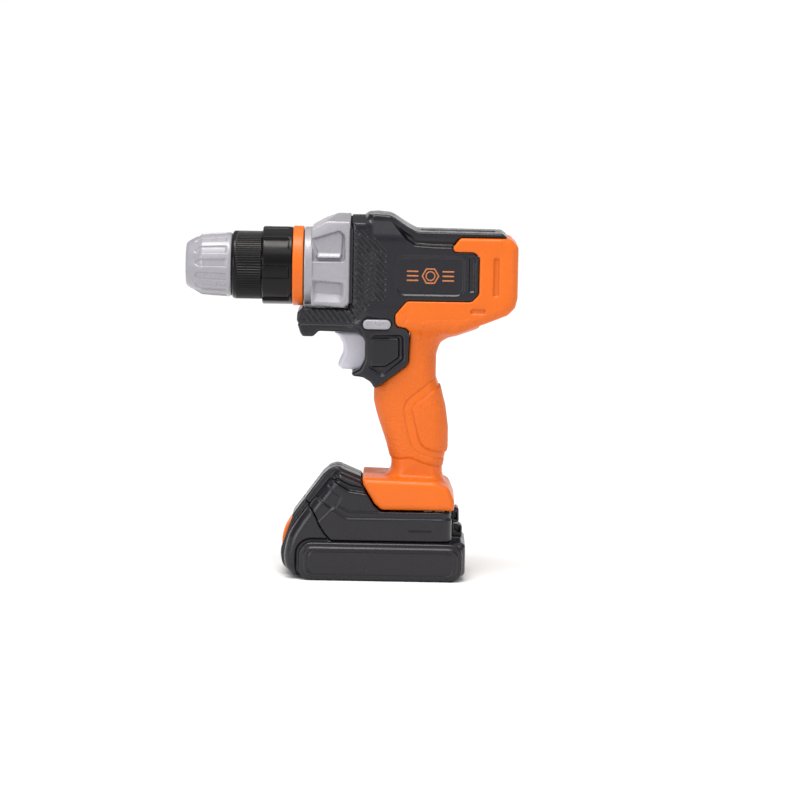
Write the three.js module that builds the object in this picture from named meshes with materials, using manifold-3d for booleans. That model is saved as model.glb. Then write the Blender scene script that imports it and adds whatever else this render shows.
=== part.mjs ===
// Toy power drill with its battery pack, in millimetres.
// +Z is up, the nose points along -X, Y = 0 is the plane where the moulded halves meet.
// The drill stands on its battery pack, whose underside is at Z = 0.
// "left" and "right" are the user's, so left is -Y.

import * as THREE from 'three';
import Module from 'manifold-3d';
import { mergeVertices } from 'three/addons/utils/BufferGeometryUtils.js';

const wasm = await Module();
wasm.setup();

// ---------------------------------------------------------------- driving dimensions

const GAP = 0.3;              // between two pieces that touch
const WALL = 2.4;             // moulded wall thickness
const AXIS_Z = 179;           // height of the chuck's axis
const CHUCK_FRONT = -95.5;
const NOSE_REAR = -69.2;
const SLEEVE_REAR = -51.8;
const RING_REAR = -34.2;
const COLLAR_REAR = -27.8;
const COVER_FRONT = -27.5;    // silver gear cover
const COVER_REAR = -0.6;

const SLEEVE_R = 19.6;
const RING_R = 22.4;
const COLLAR_R = 23;
const NECK_R = 14.4;          // fixed tube that carries the collar and the torque ring
const SPINDLE_R = 6;
const JOURNAL_R = 4;          // thin rear end of the spindle

const BODY_HALF = 22.3;       // half widths
const COVER_HALF = 21.6;
const GUARD_HALF = 17.5;
const GRIP_HALF = 16.5;
const CAP_HALF = 27;          // orange foot cap
const FOOT_HALF = 26.5;
const PACK_HALF = 27.5;
const PANEL_HALF = 31;        // raised side panels of the battery pack

const MODULE = 0.8;           // gear tooth module
const PINION_TEETH = 10;
const WHEEL_TEETH = 32;       // large wheel of the compound gear
const SMALL_TEETH = 12;       // small wheel of the compound gear
const OUTPUT_TEETH = 30;
const IDLER_Z = AXIS_Z - MODULE * (PINION_TEETH + WHEEL_TEETH) / 2;

const MOTOR_R = 10;
const MOTOR_FRONT = 32;
const MOTOR_REAR = 57;
const SHAFT_R = 1;

const PACK_TOP = 22.2;
const FOOT_BOTTOM = 22.8;
const CELL_R = 7.1;
const CELL_LENGTH = 50;
const CELL_PITCH = 15;
const CELL_Z = 11.4;
const CELL_FRONT = -9;

const TRIGGER_HALF = 8;
const SELECTOR_HALF = 24.6;   // its ends stand proud of both sides
const SCREW_HEAD_R = 2.6;
const SCREW_R = 1.2;

const COLOURS = {
  orange: 0xff7f32,
  black: 0x3a3840,
  silver: 0xafadb9,
  lilac: 0xb2b0be,
  brass: 0xc8a24a,
  steel: 0xa9abb0,
  white: 0xe6e4de,
  red: 0xb32020,
  ink: 0x1c1c20,
  cell: 0x6f7d86,
};

const MATERIALS = {
  orange: material('orange', 0.48, 0),
  black: material('black', 0.45, 0),
  silver: material('silver', 0.38, 0.35),
  lilac: material('lilac', 0.5, 0),
  brass: material('brass', 0.35, 1),
  steel: material('steel', 0.35, 1),
  white: material('white', 0.45, 0),
  red: material('red', 0.5, 0),
  ink: material('ink', 0.5, 0),
  cell: material('cell', 0.35, 0.2),
};

// ---------------------------------------------------------------- making and cutting solids

function material(colour, roughness, metalness) {
  return new THREE.MeshStandardMaterial({ color: COLOURS[colour], roughness, metalness });
}

function signedVolume(vertices, triangles) {
  const corner = (k) => new THREE.Vector3().fromArray(vertices, 3 * triangles[k]);
  let sum = 0;
  for (let k = 0; k < triangles.length; k += 3) {
    sum += corner(k).dot(corner(k + 1).cross(corner(k + 2))) / 6;
  }
  return sum;
}

// A closed three.js geometry as a solid, with its faces pointing out.
function solid(geometry) {
  const bare = geometry.clone();
  bare.deleteAttribute('normal');
  bare.deleteAttribute('uv');
  const merged = mergeVertices(bare, 1e-4);
  const vertProperties = new Float32Array(merged.attributes.position.array);
  const triVerts = new Uint32Array(merged.index.array);
  if (signedVolume(vertProperties, triVerts) < 0) {
    triVerts.reverse();
  }
  return new wasm.Manifold(new wasm.Mesh({ numProp: 3, vertProperties, triVerts }));
}

function join(...solids) {
  return solids.reduce((sum, next) => sum.add(next));
}

function cut(from, ...tools) {
  return tools.reduce((rest, tool) => rest.subtract(tool), from);
}

function mesh(name, body, finish) {
  const data = body.getMesh();
  const geometry = new THREE.BufferGeometry();
  geometry.setAttribute('position', new THREE.BufferAttribute(new Float32Array(data.vertProperties), 3));
  geometry.setIndex(new THREE.BufferAttribute(new Uint32Array(data.triVerts), 1));
  geometry.computeVertexNormals();
  const node = new THREE.Mesh(geometry, MATERIALS[finish]);
  node.name = name;
  return node;
}

function shapeOf(points) {
  return new THREE.Shape(points.map(([a, b]) => new THREE.Vector2(a, b)));
}

// An outline in X and Z, made solid from Y = y0 to Y = y1, its end edges bevelled.
function plate(points, y0, y1, bevel = 0) {
  const geometry = new THREE.ExtrudeGeometry(shapeOf(points), {
    depth: y1 - y0 - 2 * bevel,
    bevelEnabled: bevel > 0,
    bevelThickness: bevel,
    bevelSize: bevel,
    bevelOffset: -bevel,
    bevelSegments: 2,
  });
  geometry.rotateX(Math.PI / 2);
  geometry.translate(0, y1 - bevel, 0);
  return solid(geometry);
}

function centred(points, half, bevel = 0) {
  return plate(points, -half, half, bevel);
}

function box(x0, x1, y0, y1, z0, z1) {
  const geometry = new THREE.BoxGeometry(x1 - x0, y1 - y0, z1 - z0);
  geometry.translate((x0 + x1) / 2, (y0 + y1) / 2, (z0 + z1) / 2);
  return solid(geometry);
}

// A profile of [X, radius] points turned about the line along X at the given Y and Z.
function turnedX(profile, sides, y = 0, z = AXIS_Z) {
  const points = profile.map(([x, r]) => new THREE.Vector2(r, x));
  const geometry = new THREE.LatheGeometry(points, sides);
  const cyclic = new THREE.Matrix4().makeBasis(
    new THREE.Vector3(0, 0, 1), new THREE.Vector3(1, 0, 0), new THREE.Vector3(0, 1, 0));
  geometry.applyMatrix4(cyclic);
  geometry.translate(0, y, z);
  return solid(geometry);
}

function rodX(x0, x1, r, sides, y = 0, z = AXIS_Z) {
  return turnedX([[x0, 0], [x0, r], [x1, r], [x1, 0]], sides, y, z);
}

function ringX(x0, x1, inner, outer, sides, y = 0, z = AXIS_Z) {
  return turnedX([[x0, inner], [x0, outer], [x1, outer], [x1, inner], [x0, inner]], sides, y, z);
}

function rodY(x, z, y0, y1, r, sides) {
  const geometry = new THREE.CylinderGeometry(r, r, y1 - y0, sides);
  geometry.translate(x, (y0 + y1) / 2, z);
  return solid(geometry);
}

// The outline moved by a distance: inwards for a positive one. Its points run either way round.
function inset(points, distance) {
  const area = THREE.ShapeUtils.area(points.map(([a, b]) => new THREE.Vector2(a, b)));
  const side = Math.sign(area) * distance;
  return points.map((here, k) => {
    const before = points[(k + points.length - 1) % points.length];
    const after = points[(k + 1) % points.length];
    const normal = (from, to) => {
      const length = Math.hypot(to[0] - from[0], to[1] - from[1]);
      return [-(to[1] - from[1]) / length, (to[0] - from[0]) / length];
    };
    const one = normal(before, here);
    const two = normal(here, after);
    const scale = side / (1 + one[0] * two[0] + one[1] * two[1]);
    return [here[0] + (one[0] + two[0]) * scale, here[1] + (one[1] + two[1]) * scale];
  });
}

// Both halves of a shell, parted at Y = 0.
function halves(name, shell, finish) {
  const far = 60;
  const seam = GAP / 2;
  const left = shell.intersect(box(-120, 120, -far, -seam, -10, 230));
  const right = shell.intersect(box(-120, 120, seam, far, -10, 230));
  return [mesh(`${name}_left`, left, finish), mesh(`${name}_right`, right, finish)];
}

// ---------------------------------------------------------------- outlines in X and Z

const UPPER_BLOCK = [
  [-0.2, 209.4], [8, 210.4], [13, 210.4], [23, 209.6], [31, 204.3], [37, 201], [85, 200.6],
  [92, 197.4], [95, 193], [95.5, 186.5], [95.3, 164], [94, 158], [90, 153.8], [75.3, 146.4],
  [60, 142], [26, 141], [-0.2, 150],
];

const GUARD_BLOCK = [
  [-27.9, 156.5], [-31.2, 153.4], [-31.4, 149], [-29.1, 141.9], [-27.7, 139.6], [-21.5, 139.6],
  [-18.4, 142.8], [-8, 142.8], [0.5, 142.3], [5.6, 140], [7.8, 134.7], [7.7, 126.1], [4, 120.6],
  [0.6, 119.4], [1.6, 117.5], [6.9, 116.6], [11.3, 113.9], [14.6, 110.2], [34, 118], [46, 130],
  [46, 158], [0, 158],
];

const GRIP = [
  [14, 112], [13.8, 102.4], [15.7, 94.6], [18.4, 87], [21.6, 77.5], [23.9, 68], [23.8, 56],
  [54.4, 56], [54.6, 66.5], [56.4, 76], [56.4, 88], [55.1, 97.7], [52.4, 108.5], [49.5, 117.5],
  [49.4, 129.8], [50.8, 135], [57, 140.4], [72, 145.2], [72, 166], [24, 166], [16, 140],
];

const FOOT_CAP = [
  [7.6, 58], [54.5, 57.4], [58.5, 53.4], [61.8, 47], [61.4, 40.2], [19.1, 40.2], [15, 43.8],
];

const FOOT_BASE = [
  [-25.5, 45.4], [-14.9, 58.7], [-11, 62.6], [-7, 63.9], [0.8, 61], [7.7, 57.6], [30, 48], [60, 41],
  [60, FOOT_BOTTOM], [-9, FOOT_BOTTOM + 0.3], [-13.8, 28.2], [-17, 34], [-18.6, 38], [-20.6, 41.4],
];

const BATTERY_PACK = [
  [-26.2, 44.6], [-32.1, 35.3], [-36.9, 25.3], [-38.8, 14.5], [-37.8, 5.4], [-32, 0],
  [63.5, 0], [68.1, 4.6], [68.1, 18], [64, PACK_TOP], [-9.6, PACK_TOP], [-14.3, 27.6],
  [-17.5, 33.6], [-19.1, 37.6], [-21.2, 40.9],
];

const SIDE_PANEL = [
  [-27.9, 8], [-27.9, 15.5], [-22, PACK_TOP], [60, PACK_TOP], [65.3, 15.5], [65.3, 5], [60, 0],
  [-21.2, 0],
];

// The orange region: rear cap, grip and foot cap in one moulding.
const ORANGE_REGION = [
  [15.2, 111], [33.6, 125], [34, 141.8], [31.8, 145.1], [27, 146.6], [25.8, 149], [25.8, 153.5],
  [32, 161.4], [68.7, 161.5], [73.2, 166], [73.2, 186.4], [69.8, 189.9], [59.7, 190], [58, 191.8],
  [62.1, 197.8], [110, 197.8], [110, 40.2], [19.1, 40.2], [15.2, 43.4], [8.2, 55.4], [7, 63],
  [12, 90], [12, 109],
];

const COVER_OUTLINE = [
  [COVER_FRONT, 201.7], [-22.9, 201.9], [-8.3, 210], [COVER_REAR, 210.2], [COVER_REAR, 160.6],
  [-4.2, 157.2], [-18.3, 157.8], [COVER_FRONT, 157.2],
];

const TRIGGER_OUTLINE = [
  [-11, 142], [-6.9, 139.5], [-4.4, 134.3], [-4.1, 130.5], [-6.8, 122.4], [-5.1, 120.4],
  [0.6, 119.8], [22, 119.8], [22, 141], [-2, 142],
];

// The release button lies on the pack's sloping front. U runs down the slope, N into the pack.
const BUTTON_TOP = [-31.8, 34.6];
const SLOPE = Math.atan2(20.1, 6.9);

function onSlope(u, n) {
  const down = [-Math.cos(SLOPE), -Math.sin(SLOPE)];
  const inwards = [Math.sin(SLOPE), -Math.cos(SLOPE)];
  return [BUTTON_TOP[0] + down[0] * u + inwards[0] * n, BUTTON_TOP[1] + down[1] * u + inwards[1] * n];
}

function slopeBlock(u0, u1, n0, n1, half) {
  return centred([onSlope(u0, n0), onSlope(u1, n0), onSlope(u1, n1), onSlope(u0, n1)], half);
}

// ---------------------------------------------------------------- screws

// Each screw enters from the right; its place is [X, Z], and reach is the half width there.
const SCREWS = [
  { at: [50, 195], reach: BODY_HALF, shell: 'body' },
  { at: [-23, 148.5], reach: GUARD_HALF, shell: 'body' },
  { at: [84, 172], reach: BODY_HALF, shell: 'handle' },
  { at: [44, 112], reach: GRIP_HALF, shell: 'handle' },
  { at: [30, 68], reach: GRIP_HALF, shell: 'handle' },
  { at: [-9, 203.5], reach: COVER_HALF, shell: 'cover' },
  { at: [0, 52], reach: FOOT_HALF, shell: 'foot' },
  { at: [-32, 7], reach: PACK_HALF, shell: 'pack' },
  { at: [63, 10], reach: PANEL_HALF, shell: 'pack' },
];
const HEAD_DEPTH = 9;         // the head's seat, below the outside
const BOSS_R = 3.2;

function bosses(shell) {
  return SCREWS.filter((screw) => screw.shell === shell)
    .map(({ at, reach }) => rodY(at[0], at[1], -reach + 1.5, reach - 1.5, BOSS_R, 10));
}

function screwHoles(shell) {
  const holes = [];
  for (const { at, reach } of SCREWS.filter((screw) => screw.shell === shell)) {
    holes.push(rodY(at[0], at[1], reach - HEAD_DEPTH, reach + 5, SCREW_HEAD_R + GAP, 10));
    holes.push(rodY(at[0], at[1], -reach + 7, reach, SCREW_R + GAP, 8));
  }
  return holes;
}

function screwMeshes() {
  return SCREWS.map(({ at, reach }, k) => {
    const seat = reach - HEAD_DEPTH + GAP;
    const head = rodY(at[0], at[1], seat, seat + 2, SCREW_HEAD_R, 10);
    const shank = rodY(at[0], at[1], -reach + 8, seat + 0.5, SCREW_R, 8);
    const drive = box(at[0] - 1.6, at[0] + 1.6, seat + 1.2, seat + 3, at[1] - 0.4, at[1] + 0.4);
    return mesh(`housing_screw_${k + 1}`, cut(join(head, shank), drive), 'steel');
  });
}

// ---------------------------------------------------------------- shells

function outerForm() {
  return join(
    centred(UPPER_BLOCK, BODY_HALF, 5),
    centred(GUARD_BLOCK, GUARD_HALF),
    centred(GRIP, GRIP_HALF, 6),
    centred(FOOT_CAP, CAP_HALF, 4),
  );
}

// The hollow that all the outer shells share.
function cavity() {
  const guardHollow = [[4, 160], [4, 146], [11, 140], [11, 124], [10, 119], [15, 114.5], [33, 121],
    [44, 131], [44, 160]];
  return join(
    centred(inset(UPPER_BLOCK, WALL), BODY_HALF - WALL, 3.5),
    centred(guardHollow, GUARD_HALF - WALL),
    centred(inset(GRIP, WALL), GRIP_HALF - WALL, 4.5),
    centred(inset(FOOT_CAP, WALL), CAP_HALF - WALL, 3),
    centred([[27, 30], [51, 30], [51, 64], [27, 64]], GRIP_HALF - 5),
    rodX(-6, 6, 17.2, 24),
  );
}

function footCavity() {
  const front = inset(FOOT_BASE, WALL);
  return join(
    centred(front, FOOT_HALF - WALL, 3),
    box(20.5, 57, -FOOT_HALF + WALL, FOOT_HALF - WALL, FOOT_BOTTOM + WALL, 41),
  );
}

const TRIGGER_SLOT = box(-12.5, 28, -TRIGGER_HALF - 0.5, TRIGGER_HALF + 0.5, 119.3, 142.4);
const SELECTOR_SLOT = [[6.6, 147.9], [7.5, 145.6], [9.5, 144.7], [20.5, 144.7], [22.5, 145.6],
  [23.4, 147.9], [22.5, 150.1], [20.5, 151], [9.5, 151], [7.5, 150.1]];

function bodyShells(form, hollow) {
  const orange = centred(inset(ORANGE_REGION, -GAP), 60);
  const lower = box(-60, 60, -60, 60, -20, 108);
  let shell = cut(form, orange, lower, hollow);
  shell = shell.add(join(...bosses('body'))).intersect(form);
  shell = cut(shell, orange, TRIGGER_SLOT, centred(SELECTOR_SLOT, 40), ...screwHoles('body'));
  shell = cut(
    shell,
    rodX(-40, 8, 17.2, 24),
    rodX(-40, COLLAR_REAR + GAP, COLLAR_R + GAP, 40),
    centred(inset(COVER_OUTLINE, -GAP), 40),
  );
  return halves('body_shell', shell, 'black');
}

function handleShells(form, hollow, footForm) {
  const region = centred(ORANGE_REGION, 60);
  let shell = cut(form.intersect(region), hollow);
  shell = shell.add(join(...bosses('handle')).intersect(form));
  shell = cut(shell, footForm, ...screwHoles('handle'));
  return halves('handle_shell', shell, 'orange');
}

function footShells() {
  const region = inset(ORANGE_REGION, -GAP);
  const form = cut(centred(FOOT_BASE, FOOT_HALF, 4), centred(region, 60));
  const railHead = box(-40, 59, -15.6, 15.6, FOOT_BOTTOM + WALL - 0.1, 31);
  const railNeck = box(-40, 59, -11.2, 11.2, FOOT_BOTTOM - 1, FOOT_BOTTOM + WALL + 0.1);
  let shell = cut(form, footCavity());
  shell = shell.add(join(...bosses('foot')).intersect(form));
  shell = cut(shell, railHead, railNeck, ...screwHoles('foot'));
  return halves('foot_shell', shell, 'black');
}

function gearCovers() {
  let shell = centred(COVER_OUTLINE, COVER_HALF, 4);
  shell = cut(
    shell,
    rodX(COVER_FRONT + WALL, 5, 18.4, 28),
    rodX(-40, 5, NECK_R + GAP, 28),
    ...screwHoles('cover'),
  );
  return halves('gear_cover', shell, 'silver');
}

function rearCatch() {
  const loop = [[60.3, 28], [64.3, 28.3], [64.6, 36.3], [60.3, 37]];
  const tongue = [[60.3, 37], [60.3, 22.8], [66.2, 22.8], [66.4, 27], [62.6, 27.6], [62.2, 37]];
  return mesh('rear_catch', join(centred(loop, 6), centred(tongue, 4)), 'black');
}

// ---------------------------------------------------------------- chuck, nose and gear train

function chuckNose() {
  const outer = turnedX([
    [CHUCK_FRONT, 0], [CHUCK_FRONT, 11.7], [-94, 13.2], [-90, 15.7], [-85, 17.4], [-78, 18.1],
    [NOSE_REAR, 18.5], [NOSE_REAR, 0],
  ], 28);
  return mesh('chuck_nose', cut(
    outer,
    rodX(CHUCK_FRONT - 1, -79, 10.6, 28),
    rodX(-80, -60, SPINDLE_R + GAP, 24),
  ), 'silver');
}

function bitSocket() {
  const half = 6.4;
  const bore = box(CHUCK_FRONT - 1, -81, -half, half, AXIS_Z - half, AXIS_Z + half);
  const clipSeat = box(-93, -83, -4.3, 4.3, AXIS_Z + 8.4, AXIS_Z + 12);
  return mesh('bit_socket', cut(rodX(CHUCK_FRONT + 0.4, -79.3, 10.3, 28), bore, clipSeat), 'black');
}

function bitDetent() {
  const strip = box(-92.7, -83.3, -4, 4, AXIS_Z + 8.7, AXIS_Z + 9.5);
  return mesh('bit_detent', strip, 'steel');
}

function chuckSleeve() {
  const web = ringX(NOSE_REAR + GAP, -64, SPINDLE_R + GAP, SLEEVE_R, 40);
  const rim = ringX(-65, SLEEVE_REAR, 15, SLEEVE_R, 40);
  return mesh('chuck_sleeve', join(web, rim), 'black');
}

function torqueRing() {
  const grips = 8;
  const firstGrip = 39.5;
  let ring = ringX(SLEEVE_REAR + GAP, RING_REAR, NECK_R + GAP, RING_R, 48);
  for (let k = 0; k < grips; k += 1) {
    const angle = THREE.MathUtils.degToRad(firstGrip + k * 360 / grips);
    const geometry = new THREE.BoxGeometry(RING_REAR - SLEEVE_REAR, 3, 7.6);
    geometry.translate(SLEEVE_REAR + (RING_REAR - SLEEVE_REAR) / 2 - 1.6, -RING_R, 0);
    geometry.rotateX(-angle);
    geometry.translate(0, 0, AXIS_Z);
    ring = ring.subtract(solid(geometry));
  }
  return mesh('torque_ring', ring, 'black');
}

function collarRing() {
  return mesh('collar_ring', ringX(RING_REAR + GAP, COLLAR_REAR, NECK_R + GAP, COLLAR_R, 40), 'orange');
}

function spindleHousing() {
  return mesh('spindle_housing', turnedX([
    [-51, 10.3], [-51, NECK_R], [COVER_FRONT + WALL + GAP, NECK_R], [COVER_FRONT + WALL + GAP, 18],
    [-21, 18], [-21, 10.3], [-51, 10.3],
  ], 28), 'black');
}

function spindle() {
  return mesh('spindle', turnedX([
    [-78.6, 0], [-78.6, SPINDLE_R], [-17, SPINDLE_R], [-17, JOURNAL_R], [20.4, JOURNAL_R], [20.4, 0],
  ], 20), 'steel');
}

function frontBush() {
  return mesh('front_bush', ringX(-50, -38, SPINDLE_R + 0.2, 10, 20), 'brass');
}

function rearBush() {
  return mesh('rear_bush', ringX(17.7, 20.3, JOURNAL_R + 0.2, 6.6, 20), 'brass');
}

// Teeth with straight flanks in two stretches. The first tooth's middle is at the start angle,
// which is measured from +Y towards +Z.
function gearShape(teeth, start, boreR) {
  const pitchR = MODULE * teeth / 2;
  const rootR = pitchR - 1.2 * MODULE;
  const tipR = pitchR + 0.8 * MODULE;
  const pitchAngle = 2 * Math.PI / teeth;
  const flank = [[rootR, 0.3], [pitchR, 0.21], [tipR, 0.1]];
  const points = [];
  for (let k = 0; k < teeth; k += 1) {
    const middle = start + k * pitchAngle;
    const rising = flank.map(([r, share]) => [r, middle - share * pitchAngle]);
    const falling = flank.map(([r, share]) => [r, middle + share * pitchAngle]).reverse();
    for (const [r, angle] of [...rising, ...falling]) {
      points.push([r * Math.cos(angle), r * Math.sin(angle)]);
    }
  }
  const shape = shapeOf(points);
  if (boreR > 0) {
    const bore = new THREE.Path();
    bore.absarc(0, 0, boreR, 0, 2 * Math.PI, true);
    shape.holes.push(bore);
  }
  return shape;
}

function gear(teeth, start, boreR, x0, x1, z) {
  const geometry = new THREE.ExtrudeGeometry(
    gearShape(teeth, start, boreR), { depth: x1 - x0, bevelEnabled: false, curveSegments: 8 });
  const turned = new THREE.Matrix4().makeBasis(
    new THREE.Vector3(0, 1, 0), new THREE.Vector3(0, 0, 1), new THREE.Vector3(1, 0, 0));
  geometry.applyMatrix4(turned);
  geometry.translate(x0, 0, z);
  return solid(geometry);
}

const UP = Math.PI / 2;
const DOWN = -Math.PI / 2;

// The driven wheel has a tooth on the line of centres, and its partner has a space there.
function outputGear() {
  return mesh('output_gear', gear(OUTPUT_TEETH, DOWN, JOURNAL_R + 0.15, 10, 16, AXIS_Z), 'white');
}

function compoundGear() {
  const small = gear(SMALL_TEETH, UP + Math.PI / SMALL_TEETH, 0, 9.4, 16.6, IDLER_Z);
  const large = gear(WHEEL_TEETH, UP + Math.PI / WHEEL_TEETH, 0, 24, 28, IDLER_Z);
  const hub = rodX(16, 24.5, 3.2, 16, 0, IDLER_Z);
  const bore = rodX(0, 40, 1.35, 12, 0, IDLER_Z);
  return mesh('compound_gear', cut(join(small, large, hub), bore), 'white');
}

function motorPinion() {
  return mesh('motor_pinion', gear(PINION_TEETH, DOWN, SHAFT_R + 0.15, 23.4, 28.6, AXIS_Z), 'brass');
}

function gearPin() {
  return mesh('gear_pin', rodX(5.5, 33, 1.2, 10, 0, IDLER_Z), 'steel');
}

// Two bulkheads hold the gear train. Each slides into the shells' hollow.
function gearPlates() {
  const front = cut(
    box(6.3, 8.3, -15.5, 15.5, 156, 195),
    rodX(0, 20, JOURNAL_R + 1, 16),
    rodX(0, 20, 1.4, 10, 0, IDLER_Z),
  );
  const rear = cut(
    box(18, 20, -15.5, 15.5, 156, 195),
    rodX(15, 22, 6.8, 16),
    rodX(15, 22, 4.2, 12, 0, IDLER_Z),
  );
  return [mesh('gear_plate_front', front, 'white'), mesh('gear_plate_rear', rear, 'white')];
}

function motor() {
  const flats = box(MOTOR_FRONT, MOTOR_REAR, -7.7, 7.7, AXIS_Z - 12, AXIS_Z + 12);
  const can = rodX(MOTOR_FRONT, MOTOR_REAR - 2, MOTOR_R, 28).intersect(flats);
  const boss = rodX(MOTOR_FRONT - 1.6, MOTOR_FRONT + 1, 3, 16);
  const bore = rodX(20, 39, SHAFT_R + 0.3, 12);
  const endCap = rodX(MOTOR_REAR - 2 + GAP, MOTOR_REAR, MOTOR_R, 28).intersect(flats);
  const rearBoss = rodX(MOTOR_REAR - 0.5, MOTOR_REAR + 2.5, 3, 16);
  return [
    mesh('motor_can', cut(join(can, boss), bore), 'steel'),
    mesh('motor_end_cap', join(endCap, rearBoss), 'white'),
    mesh('motor_shaft', rodX(22.4, 38, SHAFT_R, 12), 'steel'),
  ];
}

// ---------------------------------------------------------------- trigger, switches and leads

function trigger() {
  const body = centred(TRIGGER_OUTLINE, TRIGGER_HALF, 1.2);
  const hollow = box(3, 23, -5.6, 5.6, 122.6, 138.6);
  return mesh('trigger', cut(body, hollow), 'lilac');
}

function springTube(name, x0, x1, z) {
  return mesh(name, ringX(x0, x1, 3.1, 4, 14, 0, z), 'steel');
}

function switches() {
  const block = box(33.4, 43.4, -6, 6, 122.4, 139.4);
  const post = rodX(26.9, 34, 2.2, 12, 0, 130.6);
  return [
    mesh('trigger_switch', join(block, post), 'ink'),
    mesh('direction_switch', box(9.5, 20.5, -5, 5, 151.6, 155.4), 'ink'),
  ];
}

function directionSelector() {
  const bar = centred(inset(SELECTOR_SLOT, GAP), SELECTOR_HALF, 1.4);
  return mesh('direction_selector', bar, 'silver');
}

function lead(name, route, finish) {
  const path = new THREE.CatmullRomCurve3(route.map(([x, y, z]) => new THREE.Vector3(x, y, z)));
  const section = new THREE.Shape();
  section.absarc(0, 0, 0.8, 0, 2 * Math.PI);
  const steps = 3 * (route.length - 1);
  const geometry = new THREE.ExtrudeGeometry(section, { steps, extrudePath: path, curveSegments: 3 });
  return mesh(name, solid(geometry), finish);
}

function leads() {
  const nodes = [];
  for (const [colour, finish, side] of [['red', 'red', 1], ['black', 'ink', -1]]) {
    nodes.push(lead(`battery_lead_${colour}`, [
      [50, 5 * side, 37.8], [47, 5 * side, 47], [42, 4 * side, 60], [40, 4 * side, 80],
      [37, 4 * side, 100], [38, 4 * side, 113], [39, 4 * side, 122],
    ], finish));
    nodes.push(lead(`motor_lead_${colour}`, [
      [40, 4 * side, 139.8], [44, 5 * side, 148], [55, 6 * side, 160], [62, 6 * side, 170],
      [60, 5 * side, 177], [57.4, 5 * side, 179],
    ], finish));
  }
  return nodes;
}

function terminals() {
  const block = cut(
    box(44, 56, -9, 9, 32, 37.4),
    box(43, 50, -1, 1, 31, 38),
  );
  const blades = join(
    box(44, 56, -6.5, -3.5, 30.1, 30.7),
    box(44, 56, 3.5, 6.5, 30.1, 30.7),
    box(44, 45.5, -6.5, 6.5, 30.1, 30.7),
  );
  return [mesh('terminal_block', block, 'ink'), mesh('battery_blades', blades, 'brass')];
}

// ---------------------------------------------------------------- battery pack

function batteryCase() {
  const cells = box(-12.5, 58, -24.2, 24.2, WALL, PACK_TOP - WALL);
  const front = centred([[-24, 36], [-33.4, 22], [-35.2, 14], [-34.6, 11], [-14, 11], [-14, 21],
    [-20, 33]], PACK_HALF - WALL);
  const railNeck = box(-4, 58, -10.6, 10.6, PACK_TOP - 1, 26.2);
  const railHead = box(-4, 58, -15, 15, 25.8, 29.8);
  const railRecess = box(0, 54, -7, 7, 10, 24);
  const door = box(-14, 46.6, -25, 25, -1, WALL + 0.1);
  const ribOfSpring = slopeBlock(5, 13, 11, 13, PACK_HALF - 1);
  let pack = join(centred(BATTERY_PACK, PACK_HALF, 2), centred(SIDE_PANEL, PANEL_HALF, 1.5));
  const outside = pack;
  pack = cut(pack, front, cells);
  pack = join(pack, ribOfSpring.intersect(outside), ...bosses('pack').map((b) => b.intersect(outside)));
  pack = join(pack, railNeck, railHead);
  pack = cut(pack, door, railRecess, slopeBlock(0.6, 19.4, -6, 5.4, 9.4), ...screwHoles('pack'));
  return halves('battery_case', pack, 'black');
}

function releaseButton() {
  const face = centred([onSlope(1, 2.4), onSlope(1, 0.4), onSlope(5, -0.35), onSlope(11, -0.55),
    onSlope(16, -0.1), onSlope(19, 0.9), onSlope(19, 2.4)], 9);
  const stem = slopeBlock(8, 10, 2, 7.6, 1.4);
  return mesh('release_button', join(face, stem), 'orange');
}

function releaseSpring() {
  const geometry = new THREE.LatheGeometry([
    new THREE.Vector2(2.4, 2.8), new THREE.Vector2(3.2, 2.8), new THREE.Vector2(3.2, 10.7),
    new THREE.Vector2(2.4, 10.7), new THREE.Vector2(2.4, 2.8),
  ], 14);
  const start = onSlope(9, 0);
  const end = onSlope(9, 1);
  const along = new THREE.Vector3(end[0] - start[0], 0, end[1] - start[1]);
  geometry.applyQuaternion(new THREE.Quaternion().setFromUnitVectors(new THREE.Vector3(0, 1, 0), along));
  geometry.translate(start[0], 0, start[1]);
  return mesh('release_spring', solid(geometry), 'steel');
}

function batteryDoor() {
  const plateBody = box(-13.7, 46.3, -24.7, 24.7, 0.2, WALL - 0.2);
  const screwHole = new THREE.CylinderGeometry(1.6, 1.6, 10, 10);
  screwHole.rotateX(Math.PI / 2);
  screwHole.translate(43, 0, 0);
  return mesh('battery_door', cut(plateBody, solid(screwHole)), 'black');
}

function doorScrew() {
  const geometry = new THREE.CylinderGeometry(1.2, 1.2, 2.6, 10);
  geometry.rotateX(Math.PI / 2);
  geometry.translate(43, 0, 1.8);
  return mesh('battery_door_screw', solid(geometry), 'steel');
}

function cells() {
  const nodes = [];
  for (let k = 0; k < 3; k += 1) {
    const y = (k - 1) * CELL_PITCH;
    const flip = k === 1;
    const rear = CELL_FRONT + CELL_LENGTH;
    const profile = flip
      ? [[CELL_FRONT - 0.8, 0], [CELL_FRONT - 0.8, 2.7], [CELL_FRONT, 2.7], [CELL_FRONT, CELL_R],
        [rear, CELL_R], [rear, 0]]
      : [[CELL_FRONT, 0], [CELL_FRONT, CELL_R], [rear, CELL_R], [rear, 2.7], [rear + 0.8, 2.7],
        [rear + 0.8, 0]];
    nodes.push(mesh(`aa_cell_${k + 1}`, turnedX(profile, 20, y, CELL_Z), 'cell'));
  }
  return nodes;
}

function cellContacts() {
  const front = box(-11.6, -11, -22, 22, 4, 18.6);
  const rear = box(43.4, 44, -22, 22, 4, 18.6);
  return [mesh('cell_contact_front', front, 'steel'), mesh('cell_contact_rear', rear, 'steel')];
}

// ---------------------------------------------------------------- the drill

const drill = new THREE.Group();
const form = outerForm();
const hollow = cavity();
const footForm = centred(FOOT_BASE, FOOT_HALF, 4).intersect(cut(
  box(-60, 80, -60, 60, 0, 80), centred(inset(ORANGE_REGION, -GAP), 60)));

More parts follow.
